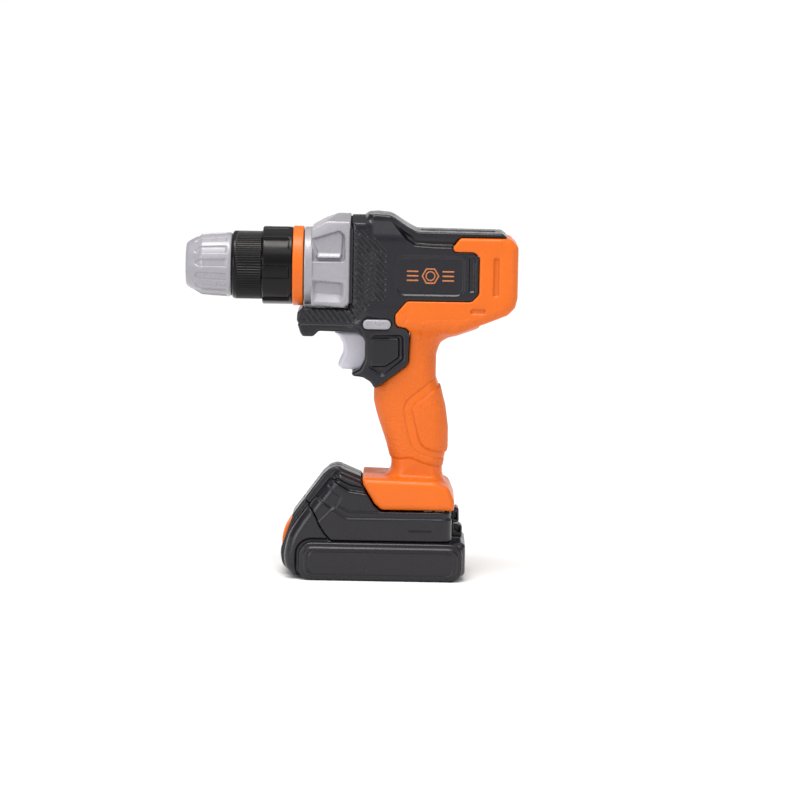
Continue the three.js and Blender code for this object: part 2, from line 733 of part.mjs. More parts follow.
drill.add(
  ...bodyShells(form, hollow),
  ...handleShells(form, hollow, footForm),
  ...gearCovers(),
  ...footShells(),
  rearCatch(),
  collarRing(),
  torqueRing(),
  chuckSleeve(),
  chuckNose(),
  bitSocket(),
  bitDetent(),
  spindleHousing(),
  spindle(),
  frontBush(),
  rearBush(),
  outputGear(),
  compoundGear(),
  gearPin(),
  motorPinion(),
  ...gearPlates(),
  ...motor(),
  trigger(),
  springTube('trigger_spring', 3.4, 33.1, 130.6),
  ...switches(),
  directionSelector(),
  ...leads(),
  ...terminals(),
  ...batteryCase(),
  releaseButton(),
  releaseSpring(),
  batteryDoor(),
  doorScrew(),
  ...cells(),
  ...cellContacts(),
  ...screwMeshes(),
);

export default drill;
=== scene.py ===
"""Looks of a toy power drill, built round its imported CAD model.

The moulded shells are distance fields in millimetres on a grid, meshed where the field is zero.
+Z is up, the nose points along -X, and Y = 0 is the plane where the moulded halves meet.
"""

import cmath
import functools
import itertools
import math

import bpy
import numpy as np
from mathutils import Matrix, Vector


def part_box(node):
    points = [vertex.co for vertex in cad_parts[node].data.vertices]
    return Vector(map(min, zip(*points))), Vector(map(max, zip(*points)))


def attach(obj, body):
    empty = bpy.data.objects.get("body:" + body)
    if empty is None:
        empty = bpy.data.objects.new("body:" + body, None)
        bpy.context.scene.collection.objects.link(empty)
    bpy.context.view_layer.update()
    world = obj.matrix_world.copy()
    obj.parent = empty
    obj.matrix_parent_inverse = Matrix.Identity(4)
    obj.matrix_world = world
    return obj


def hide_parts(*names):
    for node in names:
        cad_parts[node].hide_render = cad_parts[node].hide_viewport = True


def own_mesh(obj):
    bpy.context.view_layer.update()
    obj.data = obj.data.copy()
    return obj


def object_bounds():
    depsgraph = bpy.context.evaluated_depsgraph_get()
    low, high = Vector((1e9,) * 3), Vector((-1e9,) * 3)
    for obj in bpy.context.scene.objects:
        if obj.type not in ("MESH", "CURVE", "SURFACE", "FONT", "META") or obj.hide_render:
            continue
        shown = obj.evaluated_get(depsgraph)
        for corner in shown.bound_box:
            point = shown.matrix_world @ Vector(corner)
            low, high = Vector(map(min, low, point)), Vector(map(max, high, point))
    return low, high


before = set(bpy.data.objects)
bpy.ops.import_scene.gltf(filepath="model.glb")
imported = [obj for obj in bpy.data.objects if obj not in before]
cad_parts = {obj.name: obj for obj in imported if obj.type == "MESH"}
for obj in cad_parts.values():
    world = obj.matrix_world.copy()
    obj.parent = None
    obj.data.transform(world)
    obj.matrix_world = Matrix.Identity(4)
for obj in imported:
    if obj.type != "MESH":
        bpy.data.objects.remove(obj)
cad_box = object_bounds()

MM = 0.001
FINE = 0.5                   # grid step of the shells
SEAM = 0.015                 # half the gap between two moulded halves
GAP = 0.3                    # between two pieces that touch
WALL = 2.4
RING_BORE = 14.7             # of what surrounds the spindle's housing


def span(node):
    """Lowest and highest corner of a CAD node, in millimetres."""
    low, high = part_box(node)
    return np.array(low) / MM, np.array(high) / MM


def half_width(node):
    low, high = span(node)
    return max(-low[1], high[1])


NOSE_LOW, NOSE_HIGH = span("chuck_nose")
AXIS_Z = (NOSE_LOW[2] + NOSE_HIGH[2]) / 2
BODY_HALF = half_width("body_shell_left")
COVER_HALF = half_width("gear_cover_left")
CAP_HALF = half_width("handle_shell_left")
FOOT_HALF = half_width("foot_shell_left")
PANEL_HALF = half_width("battery_case_left")
PACK_HALF = PANEL_HALF - 3.5
GUARD_HALF = 17.5
MARK_PANEL_DEPTH = 1.0       # of the flat that carries the printed mark
GRIP_HALF = 16.5
FOOT_BOTTOM = span("foot_shell_left")[0][2]
PACK_TOP = 22.2
COVER_FRONT = span("gear_cover_left")[0][0]
COVER_REAR = span("gear_cover_left")[1][0]


# ---- outlines in X and Z, with corner radii

def rectangle(x, z, radius):
    return [(x[0], z[0], radius), (x[0], z[1], radius), (x[1], z[1], radius), (x[1], z[0], radius)]


UPPER = [
    (-0.2, 209.4, 0.8), (7.2, 209.4, 1), (9, 210.4, 1), (13, 210.4, 4), (23, 209.7, 6), (31, 204.3, 6),
    (37, 201, 6), (86, 200.6, 2.5), (91.5, 197, 2.5), (95.4, 193, 3), (95.4, 163.5, 5), (94, 158, 4),
    (90, 153.8, 6), (78, 149, 8), (60, 142, 6), (26, 145, 3), (-0.2, 154, 2),
]
GUARD = [
    (-27.9, 156.5, 1.2), (-31.2, 153.4, 2.5), (-31.4, 149, 3), (-29.1, 141.9, 2.5), (-27.7, 139.6, 1.5),
    (-21.5, 139.6, 2), (-18.4, 142.8, 2), (3.2, 142.4, 6), (8.2, 139, 5), (8.3, 127, 9), (5.4, 121.6, 4),
    (0.5, 118.9, 0.8), (1.9, 117.2, 0.8), (7.2, 116.8, 4), (11.8, 114.2, 5), (14.4, 109.9, 1),
    (34, 118, 1), (46, 130, 1), (46, 158, 1), (-2, 158, 1), (-2, 156.4, 0.5),
]
GRIP = [
    (13.9, 114, 1), (13.7, 103, 7), (15.8, 94.5, 14), (21.4, 78, 24), (24.1, 68, 6), (23.8, 54, 1),
    (54.2, 54, 1), (54.5, 66, 4), (56.7, 76, 12), (56.5, 88, 16), (55, 98.5, 14), (52, 110, 5),
    (49.4, 116.9, 12), (49.4, 130, 9), (51.5, 136.4, 7), (57, 141, 9), (72, 146, 1), (72, 166, 1),
    (24, 166, 1), (16, 140, 1),
]
FOOT_CAP = [
    (7.5, 59.6, 1.5), (50.5, 58.4, 9), (58.5, 54, 6), (61.9, 46, 6), (61.4, 40.2, 1.5), (19.1, 40.2, 5),
    (15, 43.8, 4), (8, 55, 1),
]
# The foot and the battery pack share one outer form, which a seam divides.
FOOT_AND_PACK = [
    (-38.9, 13, 16), (-37.3, 25.3, 22), (-32.1, 35.4, 20), (-14.9, 59, 6), (-11, 62.6, 4), (-6.5, 64.2, 5),
    (0.8, 61, 8), (7.7, 58.2, 1), (30, 56, 1), (60, 56, 1), (60, FOOT_BOTTOM - 0.4, 0), (65.6, 22.4, 1),
    (68.1, 20.6, 1.5), (68.1, 4, 2.5), (64, 1.4, 3), (60, 1.4, 1), (58, 0, 1), (-25, 0, 2), (-28, 1.5, 3),
    (-33, 1.6, 6), (-37.6, 6, 8),
]
FOOT_SIDE = [
    (-36, 50), (-25.7, 45.2), (-23.3, 43.3, 2), (-20.4, 40.2, 3), (-18.2, 36.5, 6), (-16.7, 32.5, 8),
    (-13.6, 27.6, 5), (-9.6, FOOT_BOTTOM, 3), (90, FOOT_BOTTOM), (90, 90), (-36, 90),
]
SIDE_PANEL = rectangle((-27.9, 66.4), (0, PACK_TOP), 7.5)
ORANGE_REGION = [
    (15.2, 110.6, 1.5), (33.4, 124.6, 4), (34, 142.4, 3), (31.8, 145.6, 2), (26.6, 146.6, 2),
    (25.4, 149, 2), (25.4, 153.6, 2), (32, 161.4, 2.5), (69, 161.5, 2), (73.2, 165.8, 3),
    (73.2, 187.2, 3), (70, 190, 3), (59, 190, 2), (57.6, 192.2, 2), (62.1, 197.9, 2.5), (110, 197.9, 1),
    (110, 40.2, 1), (19.1, 40.2, 5), (15, 43.8, 4), (8, 55.8, 3), (7, 63, 1), (4, 90, 1), (4, 110.6, 1),
]
COVER_OUTLINE = [
    (COVER_FRONT, 201.7, 0.8), (-22.9, 201.9, 1.5), (-8.3, 210, 1.5), (COVER_REAR, 210.2, 0.6),
    (COVER_REAR, 159.6, 3), (-3.6, 156.7, 3), (-18.3, 157.8, 4), (COVER_FRONT, 157.2, 0.8),
]
SELECTOR_SLOT = rectangle((6.6, 23.4), (144.7, 151), 3.1)
TRIGGER = [
    (-11, 141.9, 1), (-6.9, 139.5, 4), (-4.3, 134.6, 6), (-4.1, 130, 9), (-7.3, 122.4, 1.2),
    (-5.1, 120.2, 1.4), (0.6, 119.8, 2), (22, 119.8, 1), (22, 141.4, 1), (-2, 142, 2),
]

# Screws as (X, Z), half width there, and the shell that they hold. They enter from the right.
SCREWS = [
    ((50, 195), BODY_HALF, "body_shell"), ((-23, 148.5), GUARD_HALF, "body_shell"),
    ((84, 172), BODY_HALF, "handle_shell"), ((44, 112), GRIP_HALF, "handle_shell"),
    ((30, 68), GRIP_HALF, "handle_shell"), ((-9, 203.5), COVER_HALF, "gear_cover"),
    ((0, 52), FOOT_HALF, "foot_shell"), ((-32, 7), PACK_HALF, "battery_case"),
    ((63, 10), PANEL_HALF, "battery_case"),
]
HEAD_R = 2.75                # counterbore of a screw's head
HEAD_DEPTH = 9
SHANK_R = 1.5
BOSS_R = 3.2

# The release button lies on the pack's sloping front. U runs down the slope, N into the pack.
BUTTON_TOP = (-31.8, 34.6)
SLOPE = math.atan2(20.1, 6.9)
DOWN = (-math.cos(SLOPE), -math.sin(SLOPE))
INWARDS = (math.sin(SLOPE), -math.cos(SLOPE))


# ---- fields

def arcs(points):
    """An outline of (x, z) or (x, z, corner radius), with its rounded corners turned into arcs."""
    corners = [complex(*p[:2]) for p in points]
    result = []
    for k, here in enumerate(corners):
        radius = points[k][2] if len(points[k]) > 2 else 0
        back = corners[k - 1] - here
        ahead = corners[(k + 1) % len(points)] - here
        room = 0.48 * min(abs(back), abs(ahead))
        back /= abs(back)
        ahead /= abs(ahead)
        half = abs(cmath.phase(ahead / back)) / 2
        if radius == 0 or not 0.05 <= half <= 1.54:
            result.append(here)
            continue
        reach = min(radius / math.tan(half), room)
        centre = here + (back + ahead) / abs(back + ahead) * reach / math.cos(half)
        start = here + back * reach - centre
        turn = cmath.phase((here + ahead * reach - centre) / start)
        steps = max(2, math.ceil(abs(turn) / math.radians(12)))
        result += [centre + start * cmath.exp(1j * turn * step / steps) for step in range(steps + 1)]
    return np.array([(point.real, point.imag) for point in result])


class Grid:
    """Points of a box, in millimetres. A is the distance from the parting plane, outwards."""

    def __init__(self, x, a, z, step=FINE):
        self.step = step
        self.axes = [np.arange(lo, hi + step, step, dtype=np.float32) for lo, hi in (x, a, z)]
        self.low = np.array([axis[0] for axis in self.axes])
        self.x = self.axes[0][:, None, None]
        self.a = self.axes[1][None, :, None]
        self.z = self.axes[2][None, None, :]

    def outline(self, points):
        """Signed distance from an outline in X and Z, negative inside, the same for every A."""
        ends = arcs(points)
        best = np.float32(1e9)
        outside = True
        for (ax, az), (bx, bz) in zip(ends, np.roll(ends, -1, 0)):
            if math.hypot(bx - ax, bz - az) < 1e-6:
                continue
            best = np.minimum(best, self._to_segment(ax, az, bx, bz))
            above = self.z >= az
            below = self.z < bz
            right = (bx - ax) * (self.z - az) > (bz - az) * (self.x - ax)
            outside = outside ^ ((above & below & right) | ~(above | below | right))
        return np.where(outside, 1, -1).astype(np.float32) * np.sqrt(best)

    def patch(self, points, soft):
        """1 inside an outline, 0 outside."""
        return within(self.outline(points), soft)

    def line(self, points):
        """Distance from an open line in X and Z."""
        best = np.float32(1e9)
        for (ax, az), (bx, bz) in zip(points, points[1:]):
            best = np.minimum(best, self._to_segment(ax, az, bx, bz))
        return np.sqrt(best)

    def _to_segment(self, ax, az, bx, bz):
        ex, ez = np.float32(bx - ax), np.float32(bz - az)
        wx, wz = self.x - np.float32(ax), self.z - np.float32(az)
        t = np.clip((wx * ex + wz * ez) / (ex * ex + ez * ez), 0, 1)
        return (wx - ex * t) ** 2 + (wz - ez * t) ** 2

    def block(self, x, a, z):
        return both(beyond(self.x, *x), beyond(self.a, *a), beyond(self.z, *z))

    def rod_y(self, at, radius, a):
        return both(np.hypot(self.x - at[0], self.z - at[1]) - radius, beyond(self.a, *a))

    def rod_x(self, x, radius):
        return both(np.hypot(self.a, self.z - AXIS_Z) - radius, beyond(self.x, *x))

    def slope(self):
        """U and N of every point."""
        x, z = self.x - BUTTON_TOP[0], self.z - BUTTON_TOP[1]
        return x * DOWN[0] + z * DOWN[1], x * INWARDS[0] + z * INWARDS[1]

    def slope_block(self, u, n, half):
        along, depth = self.slope()
        return both(beyond(along, *u), beyond(depth, *n), self.a - half)

    def rounded(self, flat, half, radius):
        """A form with this outline distance and half width, its edges rounded."""
        across = flat + radius
        out = np.abs(self.a) - half + radius
        return (np.minimum(np.maximum(across, out), 0)
                + np.hypot(np.maximum(across, 0), np.maximum(out, 0)) - radius)


def beyond(value, low, high):
    """How far a value is outside a range, negative inside."""
    return np.maximum(low - value, value - high)


def blend(a, b, reach):
    """Both forms, joined by a fillet."""
    share = np.clip(0.5 + 0.5 * (b - a) / reach, 0, 1)
    return b + (a - b) * share - reach * share * (1 - share)


def trim(a, b, reach):
    """What lies in both forms, with a rounded edge."""
    return -blend(-a, -b, reach)


def either(*forms):
    """What lies in one form or another."""
    return functools.reduce(np.minimum, forms)


def both(*forms):
    """What lies in every one of the forms."""
    return functools.reduce(np.maximum, forms)


def cut(form, *tools):
    return both(form, *(-tool for tool in tools))


def ramp(value, start, end):
    t = np.clip((value - start) / (end - start), 0, 1)
    return t * t * (3 - 2 * t)


def within(flat, soft):
    """1 inside an outline, 0 outside, with a slope of that width between."""
    return ramp(-flat, -soft / 2, soft / 2)


def groove(flat, width):
    return np.exp(-((flat / (0.5 * width)) ** 2))


def slashes(grid, angle, pitch, length):
    """Rows of short grooves at an angle: 1 in a groove, 0 between."""
    c, s = math.cos(math.radians(angle)), math.sin(math.radians(angle))
    along = grid.x * c + grid.z * s
    across = (grid.z * c - grid.x * s) / pitch
    row = np.floor(across)
    place = along / length + 0.618 * row
    wave = 0.5 - 0.5 * np.cos(2 * math.pi * across)
    gap = np.abs(place - np.floor(place) - 0.5) * 2
    return ramp(wave, 0.45, 0.8) * (1 - ramp(gap, 0.82, 0.95))


# ---- from a field to a mesh

def net(field, grid):
    """The surface where the field is zero: points in grid millimetres, and four-sided faces."""
    inside = field < 0
    cells = tuple(n - 1 for n in field.shape)
    corners = list(itertools.product((0, 1), repeat=3))
    count = np.zeros(cells, np.uint8)
    for i, j, k in corners:
        count += inside[i:cells[0] + i, j:cells[1] + j, k:cells[2] + k]
    active = (count > 0) & (count < 8)
    places = np.argwhere(active)
    number = np.full(cells, -1, np.int32)
    number[active] = np.arange(len(places))
    values = {c: field[tuple((places + c).T)] for c in corners}
    total = np.zeros((len(places), 3))
    crossings = np.zeros(len(places))
    for axis in range(3):
        for start in (c for c in corners if c[axis] == 0):
            end = tuple(1 if m == axis else start[m] for m in range(3))
            v0, v1 = values[start], values[end]
            crossed = (v0 < 0) != (v1 < 0)
            point = np.tile(np.array(start, float), (int(crossed.sum()), 1))
            point[:, axis] = v0[crossed] / (v0[crossed] - v1[crossed])
            total[crossed] += point
            crossings[crossed] += 1
    points = grid.low + (places + total / crossings[:, None]) * grid.step
    faces = []
    for axis in range(3):
        one, two = (axis + 1) % 3, (axis + 2) % 3
        first = [slice(1, -1)] * 3
        second = [slice(1, -1)] * 3
        first[axis], second[axis] = slice(0, -1), slice(1, None)
        was_in, now_in = inside[tuple(first)], inside[tuple(second)]
        edges = np.argwhere(was_in != now_in)
        leaving = was_in[tuple(edges.T)]
        edges[:, one] += 1
        edges[:, two] += 1
        ring = []
        for shift_one, shift_two in ((1, 1), (0, 1), (0, 0), (1, 0)):
            cell = edges.copy()
            cell[:, one] -= shift_one
            cell[:, two] -= shift_two
            ring.append(number[tuple(cell.T)])
        quads = np.stack(ring, 1)
        quads[~leaving] = quads[~leaving][:, ::-1]
        faces.append(quads)
    return points, np.concatenate(faces)


def sample(values, grid, points):
    """Values between the grid's points, mixed from the eight around."""
    place = np.clip((points - grid.low) / grid.step, 0, np.array(values.shape) - 1.001)
    base = np.floor(place).astype(int)
    part = place - base
    result = 0
    for corner in itertools.product((0, 1), repeat=3):
        weight = np.prod(np.where(corner, part, 1 - part), axis=1)
        result = result + weight * values[tuple((base + corner).T)]
    return result


def new_mesh(name, points, faces):
    """A mesh object from points in millimetres and faces of one length."""
    mesh = bpy.data.meshes.new(name)
    mesh.vertices.add(len(points))
    mesh.vertices.foreach_set("co", (np.asarray(points) * MM).astype(np.float32).ravel())
    mesh.loops.add(faces.size)
    mesh.loops.foreach_set("vertex_index", faces.astype(np.int32).ravel())
    mesh.polygons.add(len(faces))
    mesh.polygons.foreach_set("loop_start", np.arange(0, faces.size, faces.shape[1], dtype=np.int32))
    mesh.update(calc_edges=True)
    mesh.validate()
    mesh.shade_smooth()
    return placed(name, mesh)


def thinned(piece, faces_wanted):
    """The piece's mesh with fewer faces where it is flat."""
    triangles = sum(len(p.vertices) - 2 for p in piece.data.polygons)
    if triangles <= faces_wanted:
        return
    modifier = piece.modifiers.new("thin", "DECIMATE")
    modifier.ratio = faces_wanted / triangles
    evaluated = piece.evaluated_get(bpy.context.evaluated_depsgraph_get())
    lighter = bpy.data.meshes.new_from_object(evaluated)
    piece.modifiers.clear()
    heavy = piece.data
    piece.data = lighter
    bpy.data.meshes.remove(heavy)


def from_field(name, field, grid, side, faces_wanted, mask=None):
    """The piece whose surface is the field's zero. side is -1 for the left half, 1 for the right."""
    points, faces = net(field, grid)
    if side < 0:
        points[:, 1] *= -1
        faces = faces[:, ::-1]
    piece = new_mesh(name, points, faces)
    thinned(piece, faces_wanted)
    mesh = piece.data
    places = np.zeros(len(mesh.vertices) * 3, np.float32)
    mesh.vertices.foreach_get("co", places)
    places = places.reshape(-1, 3) / MM
    places[:, 1] *= side
    slopes = np.stack([sample(g, grid, places) for g in np.gradient(field, grid.step)], 1)
    slopes[:, 1] *= side
    slopes /= np.maximum(np.linalg.norm(slopes, axis=1), 1e-6)[:, None]
    mesh.shade_smooth()
    mesh.normals_split_custom_set_from_vertices(slopes.astype(np.float32))
    if mask is not None:
        values = sample(np.repeat(mask, 2, 1), grid, places * (1, 0, 1) + (0, grid.low[1], 0))
        attribute = mesh.attributes.new("zone", "FLOAT", "POINT")
        attribute.data.foreach_set("value", values.astype(np.float32))
    return piece


def finish_piece(piece, body, replaced, finish):
    """Gives a piece its material and body, and hides the CAD nodes that it replaces."""
    piece.data.materials.clear()
    piece.data.materials.append(FINISHES[finish])
    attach(piece, body)
    if replaced:
        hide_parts(*replaced)


# ---- materials

def placed(name, data):
    """A new object in the scene for this mesh, light or camera."""
    piece = bpy.data.objects.new(name, data)
    bpy.context.scene.collection.objects.link(piece)
    return piece


def add_node(tree, kind, output, inputs, **settings):
    """An output of a new shader node, whose inputs are values or other nodes' outputs."""
    node = tree.nodes.new("ShaderNode" + kind)
    for name, value in settings.items():
        setattr(node, name, value)
    for name, value in inputs.items():
        if isinstance(value, bpy.types.NodeSocket):
            tree.links.new(value, node.inputs[name])
        else:
            node.inputs[name].default_value = value
    return node.outputs[output]


def map_range(tree, value, low, high, to_low, to_high, **settings):
    inputs = {"Value": value, "From Min": low, "From Max": high, "To Min": to_low, "To Max": to_high}
    return add_node(tree, "MapRange", "Result", inputs, **settings)


class Finish:
    """A node material under construction."""

    def __init__(self, name):
        self.material = bpy.data.materials.new(name)
        self.material.use_nodes = True
        self.tree = self.material.node_tree
        self.shader = self.tree.nodes["Principled BSDF"]
        self.place = add_node(self.tree, "TexCoord", "Object", {})

    def feed(self, socket, value):
        self.tree.links.new(value, self.shader.inputs[socket])

    def noise(self, scale, detail=3, roughness=0.55, stretch=None):
        place = self.place
        if stretch:
            place = add_node(self.tree, "Mapping", "Vector", {"Vector": place, "Scale": stretch})
        inputs = {"Vector": place, "Scale": scale, "Detail": detail, "Roughness": roughness}
        return add_node(self.tree, "TexNoise", "Fac", inputs)

    def cells(self, scale):
        return add_node(self.tree, "TexVoronoi", "Distance", {"Vector": self.place, "Scale": scale})

    def between(self, value, low, high, to_low, to_high):
        return map_range(self.tree, value, low, high, to_low, to_high)

    def math(self, operation, a, b):
        return add_node(self.tree, "Math", 0, {0: a, 1: b}, operation=operation)

    def mix(self, share, a, b):
        return add_node(self.tree, "Mix", 2, {"Factor": share, 6: a, 7: b}, data_type="RGBA")

    def attribute(self, name):
        return add_node(self.tree, "Attribute", "Fac", {}, attribute_name=name)

    def bump(self, height, strength, distance):
        inputs = {"Height": height, "Strength": strength, "Distance": distance}
        last = self.shader.inputs["Normal"]
        if last.links:
            inputs["Normal"] = last.links[0].from_socket
        self.feed("Normal", add_node(self.tree, "Bump", "Normal", inputs))

    def edges(self, most):
        """From 0 where it is flat to the most on an outer edge."""
        return self.between(add_node(self.tree, "NewGeometry", "Pointiness", {}), 0.53, 0.62, 0, most)

    def creases(self, most):
        """From 0 where it is flat to the most in an inner edge or a groove."""
        return self.between(add_node(self.tree, "NewGeometry", "Pointiness", {}), 0.49, 0.42, 0, most)


def shade(colour, factor):
    return tuple(min(1.0, c * factor) for c in colour[:3]) + (1.0,)


def plastic(name, colour, roughness, textured=False, painted_shade=None, metallic=0.0, worn=None, specular=0.5):
    """Moulded plastic: uneven colour, fine moulding grain, rubbed edges, light scuffs and painted shade in
    creases and grooves.

    Its "zone" is pebbled where it is textured, or takes the colour of painted shade, which stands for
    shadow in sunk stretches.
    """
    f = Finish(name)
    f.shader.inputs["Metallic"].default_value = metallic
    f.shader.inputs["Specular IOR Level"].default_value = specular
    uneven = f.between(f.noise(38, 4), 0.3, 0.7, 0, 1)
    base = f.mix(uneven, shade(colour, 0.93), shade(colour, 1.06))
    mottled = f.mix(f.between(f.noise(420, 2), 0.35, 0.65, 0, 1), base, shade(colour, 0.97))
    scuffs = f.between(f.noise(900, 5, 0.7, stretch=(1.0, 1.0, 0.25)), 0.68, 0.76, 0, 0.2)
    rubbed = f.mix(scuffs, mottled, worn or shade(colour, 1.25))
    surface_colour = f.mix(f.edges(0.35), rubbed, worn or shade(colour, 1.3))
    # painted shade: where the zone is set, a darker colour stands for the shadow in a sunk stretch
    if painted_shade:
        surface_colour = f.mix(f.attribute("zone"), surface_colour, painted_shade)
    # painted shade: creases and grooves get a much darker colour, as if in shadow
    surface_colour = f.mix(f.creases(0.55), surface_colour, shade(colour, 0.3))
    f.feed("Base Color", surface_colour)
    spread = f.between(f.noise(120, 3), 0.3, 0.7, roughness - 0.05, roughness + 0.06)
    rough = f.math("ADD", spread, f.between(scuffs, 0, 0.2, 0, 0.1))
    rough = f.math("ADD", rough, f.creases(0.3))
    f.bump(f.noise(2600, 2), 0.12, 0.0002)
    if textured:
        zone = f.attribute("zone")
        rough = f.math("ADD", rough, f.between(zone, 0, 1, 0, 0.12))
        f.bump(f.math("MULTIPLY", f.cells(1000), zone), 0.7, 0.0005)
    f.feed("Roughness", rough)
    return f.material


def metal(name, colour, roughness):
    """Plain metal with fine marks, stains and uneven gloss."""
    f = Finish(name)
    f.shader.inputs["Metallic"].default_value = 1.0
    marks = f.noise(500, 5, 0.6)
    stains = f.between(f.noise(90, 4), 0.35, 0.7, 0, 1)
    base = f.mix(f.between(marks, 0.3, 0.7, 0, 1), shade(colour, 0.85), shade(colour, 1.1))
    f.feed("Base Color", f.mix(stains, base, shade(colour, 0.75)))
    f.feed("Roughness", f.between(marks, 0.3, 0.7, roughness - 0.08, roughness + 0.1))
    f.bump(marks, 0.1, 0.0001)
    return f.material


def wrapped_cell(name):
    """A dry cell's printed wrap: a dark sleeve with a copper-coloured band at one end."""
    f = Finish(name)
    f.shader.inputs["Coat Weight"].default_value = 0.3
    low, high = span("aa_cell_1")
    border = (low[0] + 0.72 * (high[0] - low[0])) * MM
    along = add_node(f.tree, "SeparateXYZ", "X", {0: f.place})
    band = f.between(along, border, border + 0.0004, 0, 1)
    sleeve = f.mix(f.noise(300, 3), (0.05, 0.06, 0.07, 1), (0.07, 0.08, 0.09, 1))
    copper = f.mix(f.noise(300, 3), (0.55, 0.25, 0.1, 1), (0.65, 0.32, 0.14, 1))
    f.feed("Base Color", f.mix(band, sleeve, copper))
    f.feed("Roughness", f.between(f.noise(150), 0.3, 0.7, 0.25, 0.38))
    f.bump(f.noise(1500, 2), 0.05, 0.0001)
    return f.material


ORANGE = (0.63, 0.117, 0.005, 1)
BLACK = (0.006, 0.005, 0.009, 1)
DEEP_BLACK = (0.0024, 0.002, 0.0027, 1)
SILVER = (0.278, 0.272, 0.302, 1)

PLASTICS = {
    "orange_plastic": dict(colour=ORANGE, roughness=0.31, textured=True, specular=0.3),
    # black plastic's painted shade colour, for the scoops under the lid and on the foot, is DEEP_BLACK
    "black_plastic": dict(
        colour=BLACK, roughness=0.25, worn=(0.025, 0.024, 0.03, 1), painted_shade=DEEP_BLACK, specular=0.38),
    "dark_plastic": dict(colour=DEEP_BLACK, roughness=0.17, worn=(0.007, 0.007, 0.008, 1), specular=0.2),
    "silver_plastic": dict(colour=SILVER, roughness=0.29, metallic=0.15),
    "trigger_plastic": dict(colour=(0.5, 0.485, 0.555, 1), roughness=0.4),
    "white_plastic": dict(colour=(0.72, 0.7, 0.64, 1), roughness=0.42),
    "red_cable": dict(colour=(0.45, 0.02, 0.02, 1), roughness=0.5),
    "black_cable": dict(colour=(0.015, 0.015, 0.016, 1), roughness=0.5),
    "copper_print": dict(colour=(0.42, 0.13, 0.035, 1), roughness=0.4),
}
FINISHES = {name: plastic(name, **look) for name, look in PLASTICS.items()}
FINISHES["steel"] = metal("steel", (0.55, 0.55, 0.57, 1), 0.34)
FINISHES["brass"] = metal("brass", (0.7, 0.48, 0.2, 1), 0.32)
FINISHES["cell_wrap"] = wrapped_cell("cell_wrap")


# ---- shells of two halves

def inset(points, distance):
    """An outline's points moved inwards, all their corners kept."""
    flat = np.array([p[:2] for p in points], float)
    ahead = np.roll(flat, -1, 0) - flat
    ahead /= np.linalg.norm(ahead, axis=1)[:, None]
    shifted = np.roll(flat, -1, 0)
    area = 0.5 * float(np.sum(flat[:, 0] * shifted[:, 1] - shifted[:, 0] * flat[:, 1]))
    normals = np.stack([-ahead[:, 1], ahead[:, 0]], 1) * np.sign(area)
    before = np.roll(normals, 1, 0)
    share = 1 + np.sum(normals * before, axis=1)
    moved = flat + (normals + before) * (distance / share)[:, None]
    return moved.tolist()


def screw_tools(grid, shell, side):
    """The holes that the shell's screws need on this side."""
    tools = []
    for at, reach, owner in SCREWS:
        if owner != shell:
            continue
        if side > 0:
            tools.append(grid.rod_y(at, HEAD_R, (reach - HEAD_DEPTH, reach + 5)))
            tools.append(grid.rod_y(at, SHANK_R, (-1, reach)))
        else:
            tools.append(grid.rod_y(at, SHANK_R, (-1, reach - 7)))
    return tools


def with_bosses(grid, hollow, shell):
    """The hollow less the posts that the screws bite into."""
    for at, reach, owner in SCREWS:
        if owner == shell:
            hollow = cut(hollow, grid.rod_y(at, BOSS_R, (-1, reach - 1.5)))
    return hollow


def halves(name, outer, hollow, grid, body, finish, faces_wanted, mask=None, tools=(), tongue=None):
    """Both halves of a shell, parted at the middle, with screw holes."""
    shell = cut(outer, with_bosses(grid, hollow, name), *tools)
    if tongue is not None:
        shell = either(shell, tongue)
    shell = trim(shell, SEAM - grid.a, 0.35)
    for side, word in ((-1, "left"), (1, "right")):
        field = cut(shell, *screw_tools(grid, name, side))
        piece = from_field(f"{name}_{word}_moulding", field, grid, side, faces_wanted, mask)
        finish_piece(piece, body, [f"{name}_{word}"], finish)


def front_roof(grid, lean_z, roof_z, reach):
    """Two planes that close the top over the gears: a steep one at the side and a nearly level one."""
    lean = ((grid.a - 20.3) * 7 + (grid.z - lean_z) * 2) / 7.28
    roof = (grid.z - roof_z + 0.2 * grid.a) / 1.02
    return trim(lean, roof, reach)


def top_of_body(grid):
    """The body's roof: low and wide over the gears, higher and narrower behind the step."""
    lean_rear = ((grid.a - 16.5) * 13 + (grid.z - 210) * 5.4) / 14.1
    behind = ramp(grid.x, 7, 12.2)
    return front_roof(grid, 205.9, 209.9, 1.2) * (1 - behind) + lean_rear * behind


def hatch(grid):
    """Slash marks of the gripping zones."""
    side_zone = grid.patch([
        (1.8, 201.5, 1), (8.5, 201.5, 1), (19.5, 190, 2), (19.5, 161, 2), (1.8, 161, 1)], 0.8)
    band_zone = grid.patch([
        (-28.2, 155, 1), (-27.2, 148.4, 1), (1, 148.4, 1), (4.5, 152, 1), (12, 161, 1), (2, 161, 1),
        (-2.5, 155, 1)], 0.8)
    down = slashes(grid, -46, 2.3, 11)
    up = slashes(grid, 40, 2.1, 6)
    weave = np.floor((grid.x - 1.8) / 5.9) % 2
    low = ramp(grid.z, 190, 187)
    mixed = down * (1 - low * weave) + up * low * weave
    return 0.62 * mixed * side_zone + 0.5 * slashes(grid, -52, 2.6, 9) * band_zone


def side_scoop(grid):
    """The sunk stretch of the side under the lid."""
    return grid.outline([
        (22.6, 207.4, 1), (27.7, 201.3, 3), (31.4, 196.6, 4), (36, 193.8, 3), (46, 193.2, 3),
        (99, 192.4, 3), (99, 215, 1), (23, 215, 1)])


